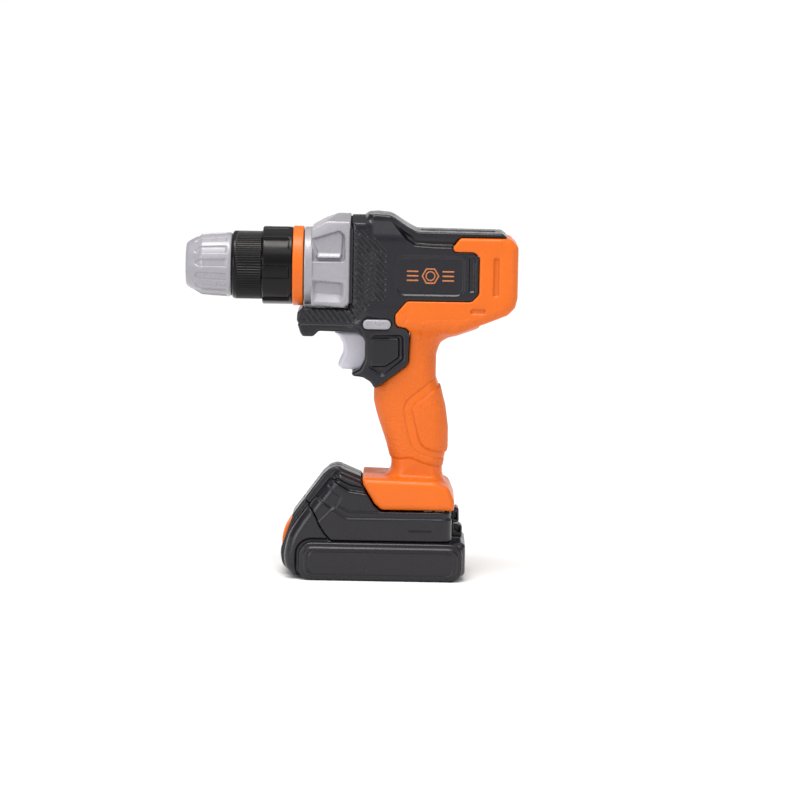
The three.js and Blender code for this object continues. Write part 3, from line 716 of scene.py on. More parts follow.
def body_details(grid):
    """How far the body's surface lies below its plain form."""
    depth = hatch(grid) + 3.2 * within(side_scoop(grid), 1.7)
    depth += MARK_PANEL_DEPTH * grid.patch([
        (26.1, 165, 4.5), (64.3, 165, 4.5), (64.3, 187, 4), (26.1, 187, 4)], 0.9)
    depth += 1.1 * grid.patch(rectangle((67.3, 70.5), (167.4, 186.9), 0.6), 0.9)
    depth += 1.9 * grid.patch([
        (12.3, 140.8, 1.5), (30, 141.4, 2), (30.3, 127.6, 3), (18.6, 117.9, 2), (10.9, 122.6, 3)], 2.4)
    raised = grid.patch([
        (12, 143, 1), (27.7, 143, 1), (27.8, 128.8, 2.5), (20.2, 123.4, 2), (11.6, 123.2, 1)], 1.5)
    depth -= 1.5 * raised * ramp(grid.z, 140.6, 139)
    lower_line = [(-31.5, 147.1), (1.5, 146.9), (5, 145), (7.3, 141.6)]
    depth += 0.6 * groove(grid.line(lower_line), 0.9)
    return depth + 0.3 * grid.patch([(-33, 147.1), (1.5, 146.9), (8, 152), (8, 158), (-33, 158)], 0.8)


def body_shells():
    grid = Grid((-33, 93), (-1, BODY_HALF + 1), (108, 212))
    region = grid.outline(ORANGE_REGION)
    upper = grid.outline(UPPER)
    guard = grid.outline(GUARD)
    guard_half = GUARD_HALF + 2.6 * ramp(grid.x, -6, 9)
    main = trim(grid.rounded(upper, BODY_HALF - 0.4, 4), top_of_body(grid), 1.2)
    form = blend(main, grid.rounded(guard, guard_half, 2.2), 3.5) + body_details(grid)
    lid = grid.outline([
        (11, 209.4, 1), (14, 210.4, 3), (23, 209.6, 6), (31, 204.3, 6), (37, 201, 6), (86, 200.6, 2),
        (90.8, 197.2, 1.5), (88, 195.4, 1), (37.5, 196.4, 5), (30, 200.2, 5), (22.4, 206, 4), (12, 207, 1)])
    lid_half = 17.2 + 1.6 * ramp(grid.x, 22, 34)
    slot = grid.outline([(40, 199.2, 0.5), (82, 198.9, 0.5), (82, 203, 0.5), (40, 203, 0.5)])
    lid_form = cut(grid.rounded(lid, lid_half, 1.2), both(slot, grid.a - 4.5))
    form = blend(form, lid_form, 0.8)
    form = trim(form, 0.25 - region, 0.8)
    cover = grid.outline(inset(COVER_OUTLINE, -GAP))
    tools = [
        both(cover, grid.a - 40), grid.rod_x((-40, 8), 17.2), grid.rod_x((-40, COVER_FRONT), 23.3),
        grid.block((-12.5, 28), (-1, 8.5), (119.3, 142.4)),
        both(grid.outline(SELECTOR_SLOT), grid.a - 40),
    ]
    tongue = both(cover_tongue(grid, 0.15), grid.x - 1)
    # painted shade: the sunk stretch under the lid, but not the lid, is coloured darker as if in shadow
    painted_shade = within(side_scoop(grid), 1) * (1 - within(lid, 0.6))
    halves("body_shell", form, shared_hollow(grid), grid, "housing", "black_plastic", 90000,
           mask=painted_shade, tools=tools, tongue=tongue)


def cover_tongue(grid, play):
    """The body's lip that reaches into a groove in the back of the gear cover."""
    sunk = 1.5 + play
    lengthened = [(x + 8 if x > COVER_REAR - 1 else x, z, radius) for x, z, radius in COVER_OUTLINE]
    lip = grid.rounded(grid.outline(lengthened) + sunk, COVER_HALF - sunk, 1)
    bore = np.hypot(grid.a, grid.z - AXIS_Z) - 18.2 - play
    return both(lip, top_of_body(grid) + sunk, COVER_REAR - 1.5 + play - grid.x, -bore)


def shared_hollow(grid):
    """The hollow inside the body and the handle."""
    guard_hollow = [
        (4, 160), (4, 146), (11, 140), (11, 124), (10, 119), (15, 114.5), (33, 121),
        (44, 131), (44, 160)]
    upper = grid.rounded(grid.outline(UPPER) + WALL + 1.6, BODY_HALF - WALL - 1.5, 3.5)
    upper = trim(upper, top_of_body(grid) + WALL + 1.5, 1)
    grip = grid.rounded(grid.outline(GRIP) + WALL, GRIP_HALF - WALL - 0.6, 4.5)
    cap = grid.rounded(grid.outline(FOOT_CAP) + WALL, CAP_HALF - WALL, 3)
    guard = grid.rounded(grid.outline(guard_hollow), GUARD_HALF - 2 * WALL, 0.5)
    passage = grid.block((27, 51), (-2, GRIP_HALF - 5), (30, 64))
    return either(upper, grip, cap, guard, passage, grid.rod_x((-6, 6), 17.2))


def grip_details(grid):
    """Depth below the handle's plain form, and where its pebbled texture is."""
    outer = [
        (52, 118.8), (48.9, 116.5), (42.4, 111.1), (36.4, 106.5), (32.8, 102.8), (31.4, 98.9), (31.9, 94.5),
        (33.6, 85.6), (35.5, 78.5), (38.2, 74.5), (43.1, 72), (48.9, 70.3), (58, 68.9)]
    inner = [
        (54, 113.6), (50.8, 111.2), (44.7, 106.7), (38.2, 101.7), (35.6, 99), (37.3, 92.8), (38.9, 85.7),
        (40.8, 79), (43.1, 76.4), (47.5, 74.7), (58, 72.4)]
    collar = [(20, 69.6), (29.9, 69.4), (34.5, 70.1), (37, 69.8), (41, 68), (47, 66), (58, 64)]
    depth = 0.5 * sum(groove(grid.line(points), width) for points, width in (
        (outer, 1.0), (inner, 1.0), (collar, 0.9)))
    band = grid.outline(outer + inner[::-1])
    pad = grid.patch(inner + [(60, 72), (60, 113.6)], 1.2)
    below = grid.outline([(5, 69.6)] + collar + [(64, 62), (64, 30), (5, 30)])
    depth += 0.25 * within(band, 1.0) - 0.5 * pad + 0.4 * within(below, 0.8)
    edge_line = [(66, 151.5), (43, 151), (40.6, 149.4), (39.8, 140), (39.6, 127), (37.8, 121.6), (26, 113)]
    depth += 0.25 * groove(grid.line(edge_line), 0.8)
    smooth_zone = grid.outline([
        (10, 109), (30, 116), (37.8, 121.6, 1), (39.6, 127, 3), (39.8, 140, 3), (40.6, 149.4, 2),
        (43, 151, 2), (66, 151.5), (110, 153), (110, 230), (10, 230)])
    plain = np.maximum(within(smooth_zone, 0.8), np.maximum(within(band, 0.8), within(below, 0.8)))
    return depth, 1 - plain


def cap_details(grid):
    """Depth of the marks on the orange rear cap."""
    depth = 1.2 * grid.patch(rectangle((81.4, 84.4), (165.1, 186.8), 0.5), 0.9)
    depth += 1.1 * grid.patch([
        (68.2, 154.8, 0.8), (76.4, 154.8, 0.8), (77.6, 157.4, 0.8), (69.2, 157.4, 0.8)], 0.8)
    return depth + 0.45 * groove(grid.line([(28.9, 154.9), (32.2, 151.4), (29.6, 147.6)]), 1.2)


def handle_shells():
    grid = Grid((6, 97), (-1, CAP_HALF + 1), (39, 199.5))
    region = grid.outline(ORANGE_REGION)
    upper = grid.outline(UPPER)
    grip = grid.outline(GRIP)
    crown = GRIP_HALF - 2.6 * (1 - np.clip(-grip / 16, 0, 1)) ** 2
    depth, texture = grip_details(grid)
    form = blend(grid.rounded(upper, BODY_HALF + 0.1, 5.5), grid.rounded(grip, crown, 8), 7)
    foot = grid.rounded(grid.outline(FOOT_CAP), CAP_HALF, 4.5)
    form = blend(form, foot, 6) + (depth + cap_details(grid))
    form = trim(form, both(region, 40.2 - grid.z), 1.3)
    halves("handle_shell", form, shared_hollow(grid), grid, "housing", "orange_plastic", 90000,
           mask=texture)


def lofted(outer, inner):
    """0 outside the outer outline, 1 inside the inner one, and an even slope between them."""
    far = np.maximum(-outer, 0)
    return far / (far + np.maximum(inner, 0) + 1e-6)


def cover_pockets(grid):
    """Depth of the silver cover's two pockets: one round a raised block, one with sloping sides."""
    upper = grid.outline([
        (-23, 196, 0.8), (-7, 201.1, 1.5), (-4.2, 198.4, 3), (-3.8, 183.5, 1.8), (-22.9, 183.4, 1)])
    block = grid.outline([
        (-22.4, 195.6, 0.5), (-7, 200.5, 1), (-5.2, 198, 2), (-5.9, 188.4, 1), (-6.2, 185.2, 0.8),
        (-20.4, 185.1, 1), (-19.3, 188.4, 0.5)])
    face = 1.9 - 1.8 * ramp(grid.z, 188.8, 185.4)
    depth = within(upper, 0.8) * (2.7 - within(block, 0.8) * (2.7 - face))
    lower = grid.outline([
        (-23.2, 172.7, 1), (-4.3, 171.3, 1), (-4, 162.6, 2), (-6.4, 159.9, 1.5), (-21.5, 160.2, 1.5),
        (-23.4, 163.6, 2)])
    flat = grid.outline([(-20.6, 171.3, 0.3), (-6.6, 170.4, 0.3), (-6.5, 164.4, 0.3), (-20.3, 165.4, 0.3)])
    depth += 2.8 * lofted(lower, flat)
    rims = groove(upper - 0.5, 0.9) + groove(lower - 0.5, 0.9)
    return depth - 0.2 * rims + 0.3 * groove(grid.x + 3.1, 0.9)


def gear_covers():
    grid = Grid((COVER_FRONT - 1, COVER_REAR + 1), (-1, COVER_HALF + 2), (155.5, 211.5), 0.42)
    outline = grid.outline(COVER_OUTLINE)
    form = grid.rounded(outline, COVER_HALF, 2.6) + cover_pockets(grid)
    facet = -0.156 * (grid.x + 22.6) + 0.928 * (grid.a - COVER_HALF) + 0.34 * (grid.z - 196.4)
    form = trim(form, facet, 1)
    form = trim(form, front_roof(grid, 206.1, 210.3, 1), 1)
    rim = both(grid.rod_x((COVER_FRONT, -22.6), 22.6), outline)
    body = both(form, -22.9 - grid.x)
    form = blend(body, rim, 0.9)
    form = trim(form, grid.block((COVER_FRONT, COVER_REAR), (-5, 40), (150, 215)), 0.8)
    hollow = grid.rod_x((COVER_FRONT + WALL, 5), 18.4)
    bore = grid.rod_x((-40, 5), RING_BORE)
    halves("gear_cover", form, hollow, grid, "housing", "silver_plastic", 60000,
           tools=[bore, cover_tongue(grid, -0.15)])


def foot_details(grid):
    """Depth of the steps and marks on the black foot's sides, and where its scoop gets painted shade."""
    scoop = grid.outline([
        (-13.5, 58.4, 1), (-9, 59.6, 1.5), (-5.4, 58.4, 2), (0.4, 55.4, 3), (12, 52.6, 1), (12, 50, 1),
        (0.5, 51.6, 4), (-4.3, 54.3, 3), (-8.7, 57.4, 1)])
    depth = 1.9 * within(scoop, 1.8)
    raised = grid.patch([
        (-40, 62), (-17.1, 46.6), (-9.4, 41.2, 2), (-0.7, 35.7, 5), (70, 35.9), (70, 0), (-40, 0)], 0.8)
    slope = grid.patch([(-6.8, 43.6, 1), (0.7, 39.6, 5), (70, 39.8), (70, 10), (-40, 10)], 0.8)
    depth += 0.75 * (1 - raised) + 0.45 * (1 - slope)
    plaque = grid.outline([
        (-11.6, 53.9, 0.6), (-3.9, 48.3, 1), (-6.9, 42.1, 1.2), (-9.6, 41.7, 1), (-17, 47.2, 0.6)])
    depth += 0.4 * within(plaque, 0.6) + 0.5 * groove(plaque, 0.8)
    return depth + 0.3 * grid.patch(rectangle((35.2, 48.6), (29, 35), 0.6), 0.6), within(scoop, 1)


def lower_form(grid, half, radius):
    """The form that the foot and the battery pack share: a strip stands proud along its front."""
    outline = grid.outline(FOOT_AND_PACK)
    narrow = grid.outline([
        (x + (2.2 + 2 * float(ramp(z, 16, 36))) * float(ramp(-x, 2, 14)),
         z - 1.2 * float(ramp(z, 56, 60) * ramp(-x, 2, 10)), r)
        for x, z, r in FOOT_AND_PACK])
    sides = grid.rounded(narrow, half, radius)
    strip = both(grid.rounded(outline, 12, 1.6), grid.x + 4)
    return blend(sides, strip, 0.8)


def foot_shells():
    grid = Grid((-29, 61.5), (-1, FOOT_HALF + 1), (21.5, 66))
    region = grid.outline(inset(ORANGE_REGION, -GAP))
    seam = grid.outline(FOOT_SIDE)
    outline = both(grid.outline(FOOT_AND_PACK), seam)
    form = lower_form(grid, FOOT_HALF, 6.5)
    # painted shade: the foot's scoop is coloured darker as if in shadow
    depth, painted_shade = foot_details(grid)
    form = form + depth * ramp(grid.a, 11.5, 15)
    rim = both(form + 0.9, 0.15 - grid.outline(ORANGE_REGION))
    form = either(trim(form, 0.1 - region, 0.6), rim)
    form = trim(form, seam, 0.6)
    base = FOOT_BOTTOM + WALL
    hollow = either(
        both(grid.rounded(outline + WALL + 4.2, FOOT_HALF - WALL - 1, 3), base - grid.z),
        grid.block((20.5, 57), (-2, FOOT_HALF - WALL - 0.8), (base, 41)))
    tools = [
        grid.block((-40, 59), (-2, 15.6), (base - 0.1, 31)),
        grid.block((-40, 59), (-2, 11.2), (FOOT_BOTTOM - 2, base + 0.2)),
    ]
    halves("foot_shell", form, hollow, grid, "housing", "black_plastic", 50000,
           mask=painted_shade, tools=tools)


def panel_depth(grid):
    """Depth of the battery's stepped side panel below its highest face."""
    panel = grid.outline(SIDE_PANEL)
    depth = 1.2 * (1 - within(panel + 2.9, 0.7))
    flat = grid.outline(rectangle((-22.7, 60.1), (3.8, 17.9), 4))
    depth += 0.8 * groove(flat, 0.9) + 0.35 * within(flat, 0.8)
    return panel, depth


def battery_case():
    grid = Grid((-40, 69.5), (-1, PANEL_HALF + 1), (-1, 46.5))
    seam = grid.outline(FOOT_SIDE)
    panel, depth = panel_depth(grid)
    channel = within(panel - 1.9, 1.0) * ramp(-grid.z - 0.3 * grid.x, -26.5, -24) * ramp(grid.x, 0, -12)
    half = PACK_HALF - 1.1 * channel
    form = trim(lower_form(grid, half, 6), GAP - seam, 0.7)
    form = either(form, grid.rounded(panel, PANEL_HALF - depth, 1.6))
    form = trim(form, -grid.z, 0.6)
    hollow = grid.rounded(grid.outline([
        (-21.5, 35), (-29.6, 22), (-32.4, 14), (-32, 11), (-14, 11), (-14, 21), (-18.5, 32),
    ]), PACK_HALF - WALL - 1.5, 0.5)
    hollow = cut(hollow, grid.slope_block((5, 13), (11, 13), PACK_HALF - 1))
    cells = grid.block((-12.5, 58), (-2, 24.2), (WALL, PACK_TOP - WALL))
    hollow = either(hollow, cells)
    rail_neck = grid.block((-4, 58), (-2, 10.6), (PACK_TOP - 1, 26.2))
    form = either(form, rail_neck, grid.block((-4, 58), (-2, 15), (25.8, 29.8)))
    tools = [
        grid.block((0, 54), (-2, 7), (10, 24)), grid.block((-14, 46.6), (-2, 25), (-3, WALL + 0.1)),
        grid.slope_block((0.6, 19.4), (-6, 5.4), 9.4), grid.slope_block((0.2, 20.2), (-6, -0.2), 40),
    ]
    halves("battery_case", form, hollow, grid, "battery", "black_plastic", 80000, tools=tools)


# ---- turned pieces

def lattice(rows, columns):
    """Four-sided faces between rows of points, each row and the set of rows closed to a ring."""
    i, j = np.meshgrid(np.arange(rows), np.arange(columns), indexing="ij")
    i2, j2 = (i + 1) % rows, (j + 1) % columns
    faces = np.stack([i * columns + j, i * columns + j2, i2 * columns + j2, i2 * columns + j], 2)
    return faces.reshape(-1, 4)


def turned(name, corners, sides, dent, body, finish):
    """A closed profile turned about the chuck's axis, sunk by dent(x, angle, radius)."""
    angles = np.linspace(0, 2 * math.pi, sides, endpoint=False)
    profile = path(corners)
    x, r = profile[:, :1], profile[:, 1:]
    radius = r - dent(x, angles[None, :], r)
    points = np.stack([x + 0 * radius, -radius * np.cos(angles), AXIS_Z + radius * np.sin(angles)], 2)
    piece = new_mesh(f"{name}_detail", points.reshape(-1, 3), lattice(len(profile), sides))
    facing_outwards(piece)
    piece.data.set_sharp_from_angle(angle=math.radians(34))
    finish_piece(piece, body, [name], finish)


def facing_outwards(piece):
    """Turns the faces over if they enclose a negative volume."""
    mesh = piece.data
    mesh.calc_loop_triangles()
    places = np.array([v.co for v in mesh.vertices])
    corners = places[np.array([t.vertices for t in mesh.loop_triangles])]
    volume = np.einsum("ij,ij->i", corners[:, 0], np.cross(corners[:, 1], corners[:, 2])).sum()
    if volume < 0:
        mesh.flip_normals()


def path(corners):
    """Points of a profile through (x, radius, corner radius), split into short steps."""
    step = 0.55
    points = arcs(corners)
    fine = []
    for start, end in zip(points, np.roll(points, -1, 0)):
        steps = max(1, round(float(np.hypot(*(end - start))) / step))
        fine += [tuple(start + (end - start) * k / steps) for k in range(steps)]
    return np.array(fine)


def angle_from(angles, centre):
    """Smallest turn, in degrees, from a direction; 0 points to -Y, 90 points up."""
    return (np.degrees(angles) - centre + 180) % 360 - 180


def no_dent(x, angles, r):
    return 0 * (x + angles)


def chuck_pieces():
    front, rear = NOSE_LOW[0], NOSE_HIGH[0]
    sleeve_low, sleeve_high = span("chuck_sleeve")
    sleeve_r = (sleeve_high[2] - sleeve_low[2]) / 2
    flutes = 14

    def nose_dent(x, angles, r):
        turn = np.abs(angle_from(angles * flutes, 7 * flutes)) / flutes * math.pi / 180 * 17.6
        end = np.clip(-86.5 - x, 0, 9)
        edge = np.hypot(turn, 0.62 * end) - 2.15
        rows = ramp(x, -71.5, -72.6)
        return 0.75 * ramp(-edge, -0.4, 0.3) * rows * (r > 12)

    turned("chuck_nose", [
        (front, 10.6, 0.3), (front, 11.9, 0.7), (-94.2, 13.2, 1), (-86.2, 17.6, 2.2), (-78, 18.15, 8),
        (rear - 1.2, 18.5, 1), (rear, 18.1, 0.6), (rear, 6.3, 0.2), (-79, 6.3, 0.2), (-79, 10.6, 0.2),
    ], 420, nose_dent, "chuck", "silver_plastic")

    ribs = 84

    def sleeve_dent(x, angles, r):
        wave = 0.5 - 0.5 * np.cos(angles * ribs)
        return 0.34 * ramp(wave, 0.3, 0.8) * ramp(x, rear + 2.5, rear + 3.2) * (r > sleeve_r - 1)

    turned("chuck_sleeve", [
        (rear + GAP, 6.3, 0.2), (rear + GAP, sleeve_r, 1.7), (sleeve_high[0], sleeve_r, 0.4),
        (sleeve_high[0], 15, 0.4), (-65, 15, 0.5), (-65, 13, 0.5), (-64, 6.3, 0.2),
    ], ribs * 7, sleeve_dent, "chuck", "dark_plastic")


def ring(name, ring_r, edges, sides, dent, body, finish):
    """A ring round the spindle's housing, its outer front and rear edges eased by these radii."""
    low, high = span(name)
    turned(name, [
        (low[0], RING_BORE, 0.3), (low[0], ring_r, edges[0]), (high[0], ring_r, edges[1]),
        (high[0], RING_BORE, 0.3)], sides, dent, body, finish)


def ring_pieces():
    low, high = span("torque_ring")
    ring_r = (high[2] - low[2]) / 2
    grips = 8

    def ring_dent(x, angles, r):
        turn = np.abs(angle_from(angles * grips, 39.5 * grips)) / grips
        edge = both((turn - 9.6) * math.pi / 180 * ring_r, x - (high[0] - 2.0))
        return 1.4 * ramp(-edge, -0.3, 0.3) * (r > ring_r - 3)

    ring("torque_ring", ring_r, (1.2, 0.5), 480, ring_dent, "torque_ring", "dark_plastic")
    low, high = span("collar_ring")
    ring("collar_ring", (high[2] - low[2]) / 2, (0.7, 0.7), 240, no_dent, "housing", "orange_plastic")


def bit_socket():
    low, high = span("bit_socket")
    grid = Grid((low[0] - 1, high[0] + 1), (-11.5, 11.5), (AXIS_Z - 11.5, AXIS_Z + 11.5), 0.35)
    half = 6.4
    field = trim(grid.rod_x((low[0], high[0]), 10.3), low[0] + 0.1 - grid.x, 0.6)
    widen = 1.1 * ramp(grid.x, low[0] + 1.3, low[0])
    bore = both(np.abs(grid.a), np.abs(grid.z - AXIS_Z)) - half - widen
    bore = both(bore, grid.x - high[0] + 1.7)
    seat = grid.block((-93, -83), (-4.3, 4.3), (AXIS_Z + 8.4, AXIS_Z + 12))
    ribs = np.abs(grid.a) < 0.8
    bore = np.where(ribs & (grid.x > low[0] + 2), bore + 0.5, bore)
    piece = from_field("bit_socket_detail", cut(field, bore, seat), grid, 1, 26000)
    finish_piece(piece, "chuck", ["bit_socket"], "dark_plastic")


# ---- small pieces

def whole(name, field, grid, faces_wanted, body, finish):
    piece = from_field(f"{name}_detail", field, grid, 1, faces_wanted)
    finish_piece(piece, body, [name], finish)


def trigger():
    grid = Grid((-12, 23), (-9, 9), (118.5, 143.2), 0.36)
    flat = grid.outline(TRIGGER)
    form = grid.rounded(flat, half_width("trigger"), 2.6)
    hollow = grid.block((3, 24), (-5.6, 5.6), (122.6, 138.6))
    whole("trigger", cut(form, hollow), grid, 24000, "trigger", "trigger_plastic")


def direction_selector():
    half = half_width("direction_selector")
    grid = Grid((5.5, 24.5), (-half - 1, half + 1), (144, 152), 0.36)
    flat = grid.outline(SELECTOR_SLOT) + GAP + 0.1
    form = grid.rounded(flat, half, 1.1)
    whole("direction_selector", form, grid, 20000, "selector", "silver_plastic")


def release_button():
    low, high = span("release_button")
    grid = Grid((low[0] - 3, high[0] + 1), (-10, 10), (low[2] - 1, high[2] + 2), 0.36)
    along, depth = grid.slope()
    half = 9
    off_middle = along - 10
    bulge = -2.1 + 1.9 * (off_middle / half) ** 2 + 0.4 * (grid.a / half) ** 2
    ridges = 0.35 * ramp(np.cos(off_middle * math.pi), 0.2, 0.8) * ramp(np.abs(off_middle), 5.2, 4.6)
    face = both(bulge + ridges * (np.abs(grid.a) < 6.5) - depth, depth - 2.4)
    sides = both(np.abs(off_middle), np.abs(grid.a)) - half
    face = trim(face, sides, 0.7)
    stem = both(beyond(along, 8, 10), np.abs(grid.a) - 1.4, beyond(depth, 2, 7.6))
    whole("release_button", either(face, stem), grid, 20000, "release", "orange_plastic")


def battery_door():
    low, high = span("battery_door")
    grid = Grid((low[0] - 1, high[0] + 1), (low[1] - 1, high[1] + 1), (low[2] - 1.4, high[2] + 1), 0.4)
    flat = both(beyond(grid.x, low[0], high[0]), np.abs(grid.a) - high[1])
    slab = trim(flat, beyond(grid.z, low[2], high[2]), 0.5)
    hole = np.hypot(grid.x - 43, grid.a) - 1.6
    grips = ramp(np.cos((grid.x + 8) * math.pi / 1.8), 0.1, 0.7) * ramp(np.abs(grid.x + 4), 6.4, 5.6)
    sunk = 0.7 * grips * ramp(np.abs(grid.a), 11, 10)
    slab = both(slab, low[2] + sunk - grid.z)
    whole("battery_door", cut(slab, hole), grid, 30000, "battery", "black_plastic")


def rear_catch():
    """A bracket and a hook behind the foot, both open at the sides but for a middle web."""
    low, high = span("rear_catch")
    grid = Grid((low[0] - 1, high[0] + 1), (-7, 7), (low[2] - 1, 42), 0.33)
    face = 60.05
    bracket = grid.outline([
        (face, 31.2, 0.2), (face, 39.9, 0.2), (61.8, 39.9, 0.3), (62.4, 40.8, 0.5), (64.2, 39.3, 1),
        (64.4, 32, 1), (61.6, 31.3, 0.4)])
    hook = grid.outline([
        (face, 22.8, 0.2), (face, 30.4, 0.2), (64.9, 30.4, 0.8), (66.3, 29, 0.8), (66.3, 22.8, 0.6)])
    web = grid.outline([(face, 22.8), (face, 39.9), (61, 39.9), (61, 22.8)])
    form = either(grid.rounded(bracket, 6, 0.6), grid.rounded(hook, 5, 0.6), grid.rounded(web, 5, 0.3))
    window = grid.block((61.4, 63), (-9, 9), (33.2, 37.2))
    notch = grid.outline([(61.8, 29.1, 0.4), (64.9, 28.8, 0.6), (64.9, 25, 0.4), (61.8, 27.4, 0.4)])
    openings = either(window, notch)
    form = cut(form, both(openings, 1.5 - np.abs(grid.a)))
    whole("rear_catch", form, grid, 24000, "housing", "black_plastic")


def coil(name, start, along, length, radius, wire, turns):
    """A compression spring: a round wire wound on a helix, its end turns closed."""
    start, along = np.array(start), np.array(along)
    side = np.array((0, 1, 0))
    up = np.cross(along, side)
    steps = turns * 22
    ring = 8
    share = np.linspace(0, 1, steps + 1)[:, None, None]
    rise = wire / 2 + (length - wire) * (ramp(share, 0, 1) * 0.35 + share * 0.65)
    out = side * np.cos(2 * math.pi * turns * share) + up * np.sin(2 * math.pi * turns * share)
    turn = (2 * math.pi * np.arange(ring) / ring)[None, :, None]
    centre = start + along * rise + out * radius
    wound = centre + (out * np.cos(turn) + along * np.sin(turn)) * wire / 2
    points = np.concatenate([wound.reshape(-1, 3), centre[0], centre[-1]]) * MM
    first, last = len(points) - 2, len(points) - 1
    row = steps * ring
    faces = lattice(steps + 1, ring)[:row].tolist()
    faces += [(m, first, (m + 1) % ring) for m in range(ring)]
    faces += [(row + m, row + (m + 1) % ring, last) for m in range(ring)]
    mesh = bpy.data.meshes.new(f"{name}_coil")
    mesh.from_pydata(points.tolist(), [], faces)
    mesh.shade_smooth()
    piece = placed(f"{name}_coil", mesh)
    facing_outwards(piece)
    return piece


def spring(name, body, joint, start, end, axis, radius, wire, turns, keep):
    """A coil from start to end, wound about the axis, in place of the CAD node; joint and keep are not
    used.
    """
    start, end = Vector(start), Vector(end)
    piece = coil(name, start, axis, (end - start).length, radius, wire, turns)
    finish_piece(piece, body, [name], "steel")
    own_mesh(piece)


def springs():
    low, high = span("trigger_spring")
    z = (low[2] + high[2]) / 2
    spring("trigger_spring", "housing", "trigger_pull", (low[0], 0, z), (high[0], 0, z), (1, 0, 0),
           3.5, 0.8, 11, 0.83)
    ends = [(BUTTON_TOP[0] + DOWN[0] * 9 + INWARDS[0] * n, 0, BUTTON_TOP[1] + DOWN[1] * 9 + INWARDS[1] * n)
            for n in (2.8, 10.7)]
    inwards = (INWARDS[0], 0, INWARDS[1])
    spring("release_spring", "battery", "release_push", *ends, inwards, 2.8, 0.7, 5, 0.68)


def emblem():
    """A generic printed mark on each side: a hexagon nut between short bars."""
    x, z, radius = 45.2, 176, 5.2
    line_width = 0.9
    corners = [(x + radius * math.cos(k * math.pi / 3), z + radius * math.sin(k * math.pi / 3), 0.5)
               for k in range(6)]
    surface = BODY_HALF - 0.4 - MARK_PANEL_DEPTH
    grid = Grid((30, 60), (surface - 0.4, surface + 0.5), (168, 184), 0.2)
    nut = grid.outline(corners)
    hole = np.hypot(grid.x - x, grid.z - z) - 2.5
    shape = both(nut, -(nut + line_width), -hole)
    shape = either(shape, np.abs(hole) - 0.4)
    for left, right in ((32, 38), (52.4, 58.4)):
        for height in (z - 2.6, z, z + 2.6):
            shape = either(shape, grid.line([(left, height), (right, height)]) - line_width / 2)
    form = both(shape, beyond(grid.a, surface - 0.1, surface + 0.06))
    for side, word in ((-1, "left"), (1, "right")):
        piece = from_field(f"printed_mark_{word}", form, grid, side, 12000)
        finish_piece(piece, "housing", [], "copper_print")


def kept_nodes():
    """Procedural finishes for the CAD nodes that are still shown."""
    wearers = {
        "dark_plastic": ("spindle_housing", "trigger_switch", "direction_switch", "terminal_block"),
        "steel": ("spindle", "gear_pin", "motor_can", "motor_shaft", "bit_detent", "battery_door_screw",
                  "cell_contact_front", "cell_contact_rear", "housing_screw"),
        "brass": ("front_bush", "rear_bush", "motor_pinion", "battery_blades"),
        "white_plastic": (
            "output_gear", "compound_gear", "gear_plate_front", "gear_plate_rear", "motor_end_cap"),
        "red_cable": ("battery_lead_red", "motor_lead_red"),
        "black_cable": ("battery_lead_black", "motor_lead_black"),
        "cell_wrap": ("aa_cell",),
    }
    for finish, names in wearers.items():
        for name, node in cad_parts.items():
            if name.rstrip("_0123456789") in names:
                for slot in node.material_slots:
                    slot.material = FINISHES[finish]


# ---- stage, light and camera

def floor():
    size = 40
    mesh = bpy.data.meshes.new("floor")
    corners = [(-size, -size, 0), (size, -size, 0), (size, size, 0), (-size, size, 0)]
    mesh.from_pydata(corners, [], [(0, 1, 2, 3)])
    piece = placed("floor", mesh)
    f = Finish("floor")
    f.shader.inputs["Roughness"].default_value = 0.9
    f.shader.inputs["Specular IOR Level"].default_value = 0.1
    f.feed("Base Color", f.mix(f.noise(3, 2), (0.93, 0.93, 0.93, 1), (0.95, 0.95, 0.95, 1)))
    mesh.materials.append(f.material)
    return piece


def softbox(name, place, size, power, colour=(1, 1, 1)):
    """A soft light that points at the drill."""
    data = bpy.data.lights.new(name, "AREA")
    data.shape = "RECTANGLE"
    data.size, data.size_y = size
    data.energy = power
    data.color = colour
    lamp = placed(name, data)
    lamp.location = place
    middle = Vector((0, 0, (cad_box[0][2] + cad_box[1][2]) / 2))
    lamp.rotation_euler = (middle - Vector(place)).to_track_quat("-Z", "Y").to_euler()
    return lamp


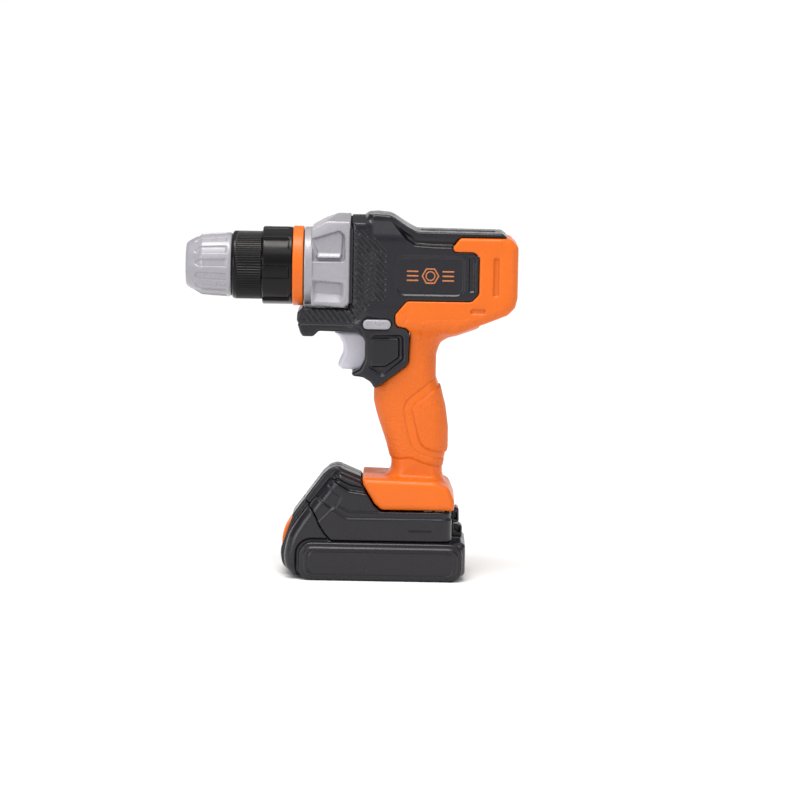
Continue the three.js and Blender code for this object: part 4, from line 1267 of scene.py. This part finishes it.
def backdrop():
    """A studio with a bright ceiling, dim walls and a white horizon."""
    world = bpy.data.worlds.new("studio")
    world.use_nodes = True
    tree = world.node_tree
    place = add_node(tree, "TexCoord", "Generated", {})

    def strength(up, low, high, at_low, at_high):
        """A strength that changes with the height along this direction."""
        height = add_node(tree, "VectorMath", "Value", {0: place, 1: up}, operation="DOT_PRODUCT")
        return map_range(tree, height, low, high, at_low, at_high, interpolation_type="SMOOTHSTEP")

    ceiling = strength((0, -0.25, 1), 0.25, 0.9, 0.2, 0.95)
    horizon = strength((0, 0, 1), 0.12, 0.28, 1.05, 0.2)
    brighter = add_node(tree, "Math", 0, {0: ceiling, 1: horizon}, operation="MAXIMUM")
    background = tree.nodes["Background"]
    tree.links.new(brighter, background.inputs["Strength"])
    background.inputs["Color"].default_value = (1, 1, 1, 1)
    bpy.context.scene.world = world


def light(stage):
    backdrop()
    sun = bpy.data.lights.new("ceiling", "SUN")
    sun.energy = 1.27
    sun.angle = math.radians(60)
    lamp = placed("ceiling", sun)
    lamp.rotation_euler = Vector((-0.1, -0.35, 0.93)).to_track_quat("Z", "Y").to_euler()
    softbox("overhead", (-0.1, -0.2, 0.95), (0.7, 0.25), 5, (1, 0.96, 0.88))
    spared = bpy.data.collections.new("not_lit_from_the_front")
    spared.objects.link(stage)
    spared.collection_objects[0].light_linking.link_state = "EXCLUDE"
    for name, place, power in (("left", (-1.3, -1.5, 0.55), 11), ("right", (1.5, -1.5, 0.5), 3.5)):
        softbox(name, place, (0.8, 1.0), power).light_linking.receiver_collection = spared
    bpy.context.scene.view_settings.view_transform = "Standard"


def camera():
    distance = 2.088
    down = math.radians(7)
    lean = math.radians(1)
    data = bpy.data.cameras.new("camera")
    data.sensor_width = 36
    data.lens = 162
    data.clip_end = 200
    piece = placed("camera", data)
    away = Vector((0, -math.cos(down), math.sin(down)))
    piece.location = Vector((0.029, 0, 0.1018)) + away * distance
    piece.rotation_euler = (-away).to_track_quat("-Z", "Y").to_euler()
    piece.rotation_euler.rotate_axis("Z", lean)
    bpy.context.scene.camera = piece


# ---- the drill

camera()
light(floor())
kept_nodes()
body_shells()
handle_shells()
gear_covers()
foot_shells()
battery_case()
chuck_pieces()
ring_pieces()
bit_socket()
trigger()
direction_selector()
release_button()
battery_door()
rear_catch()
springs()
emblem()
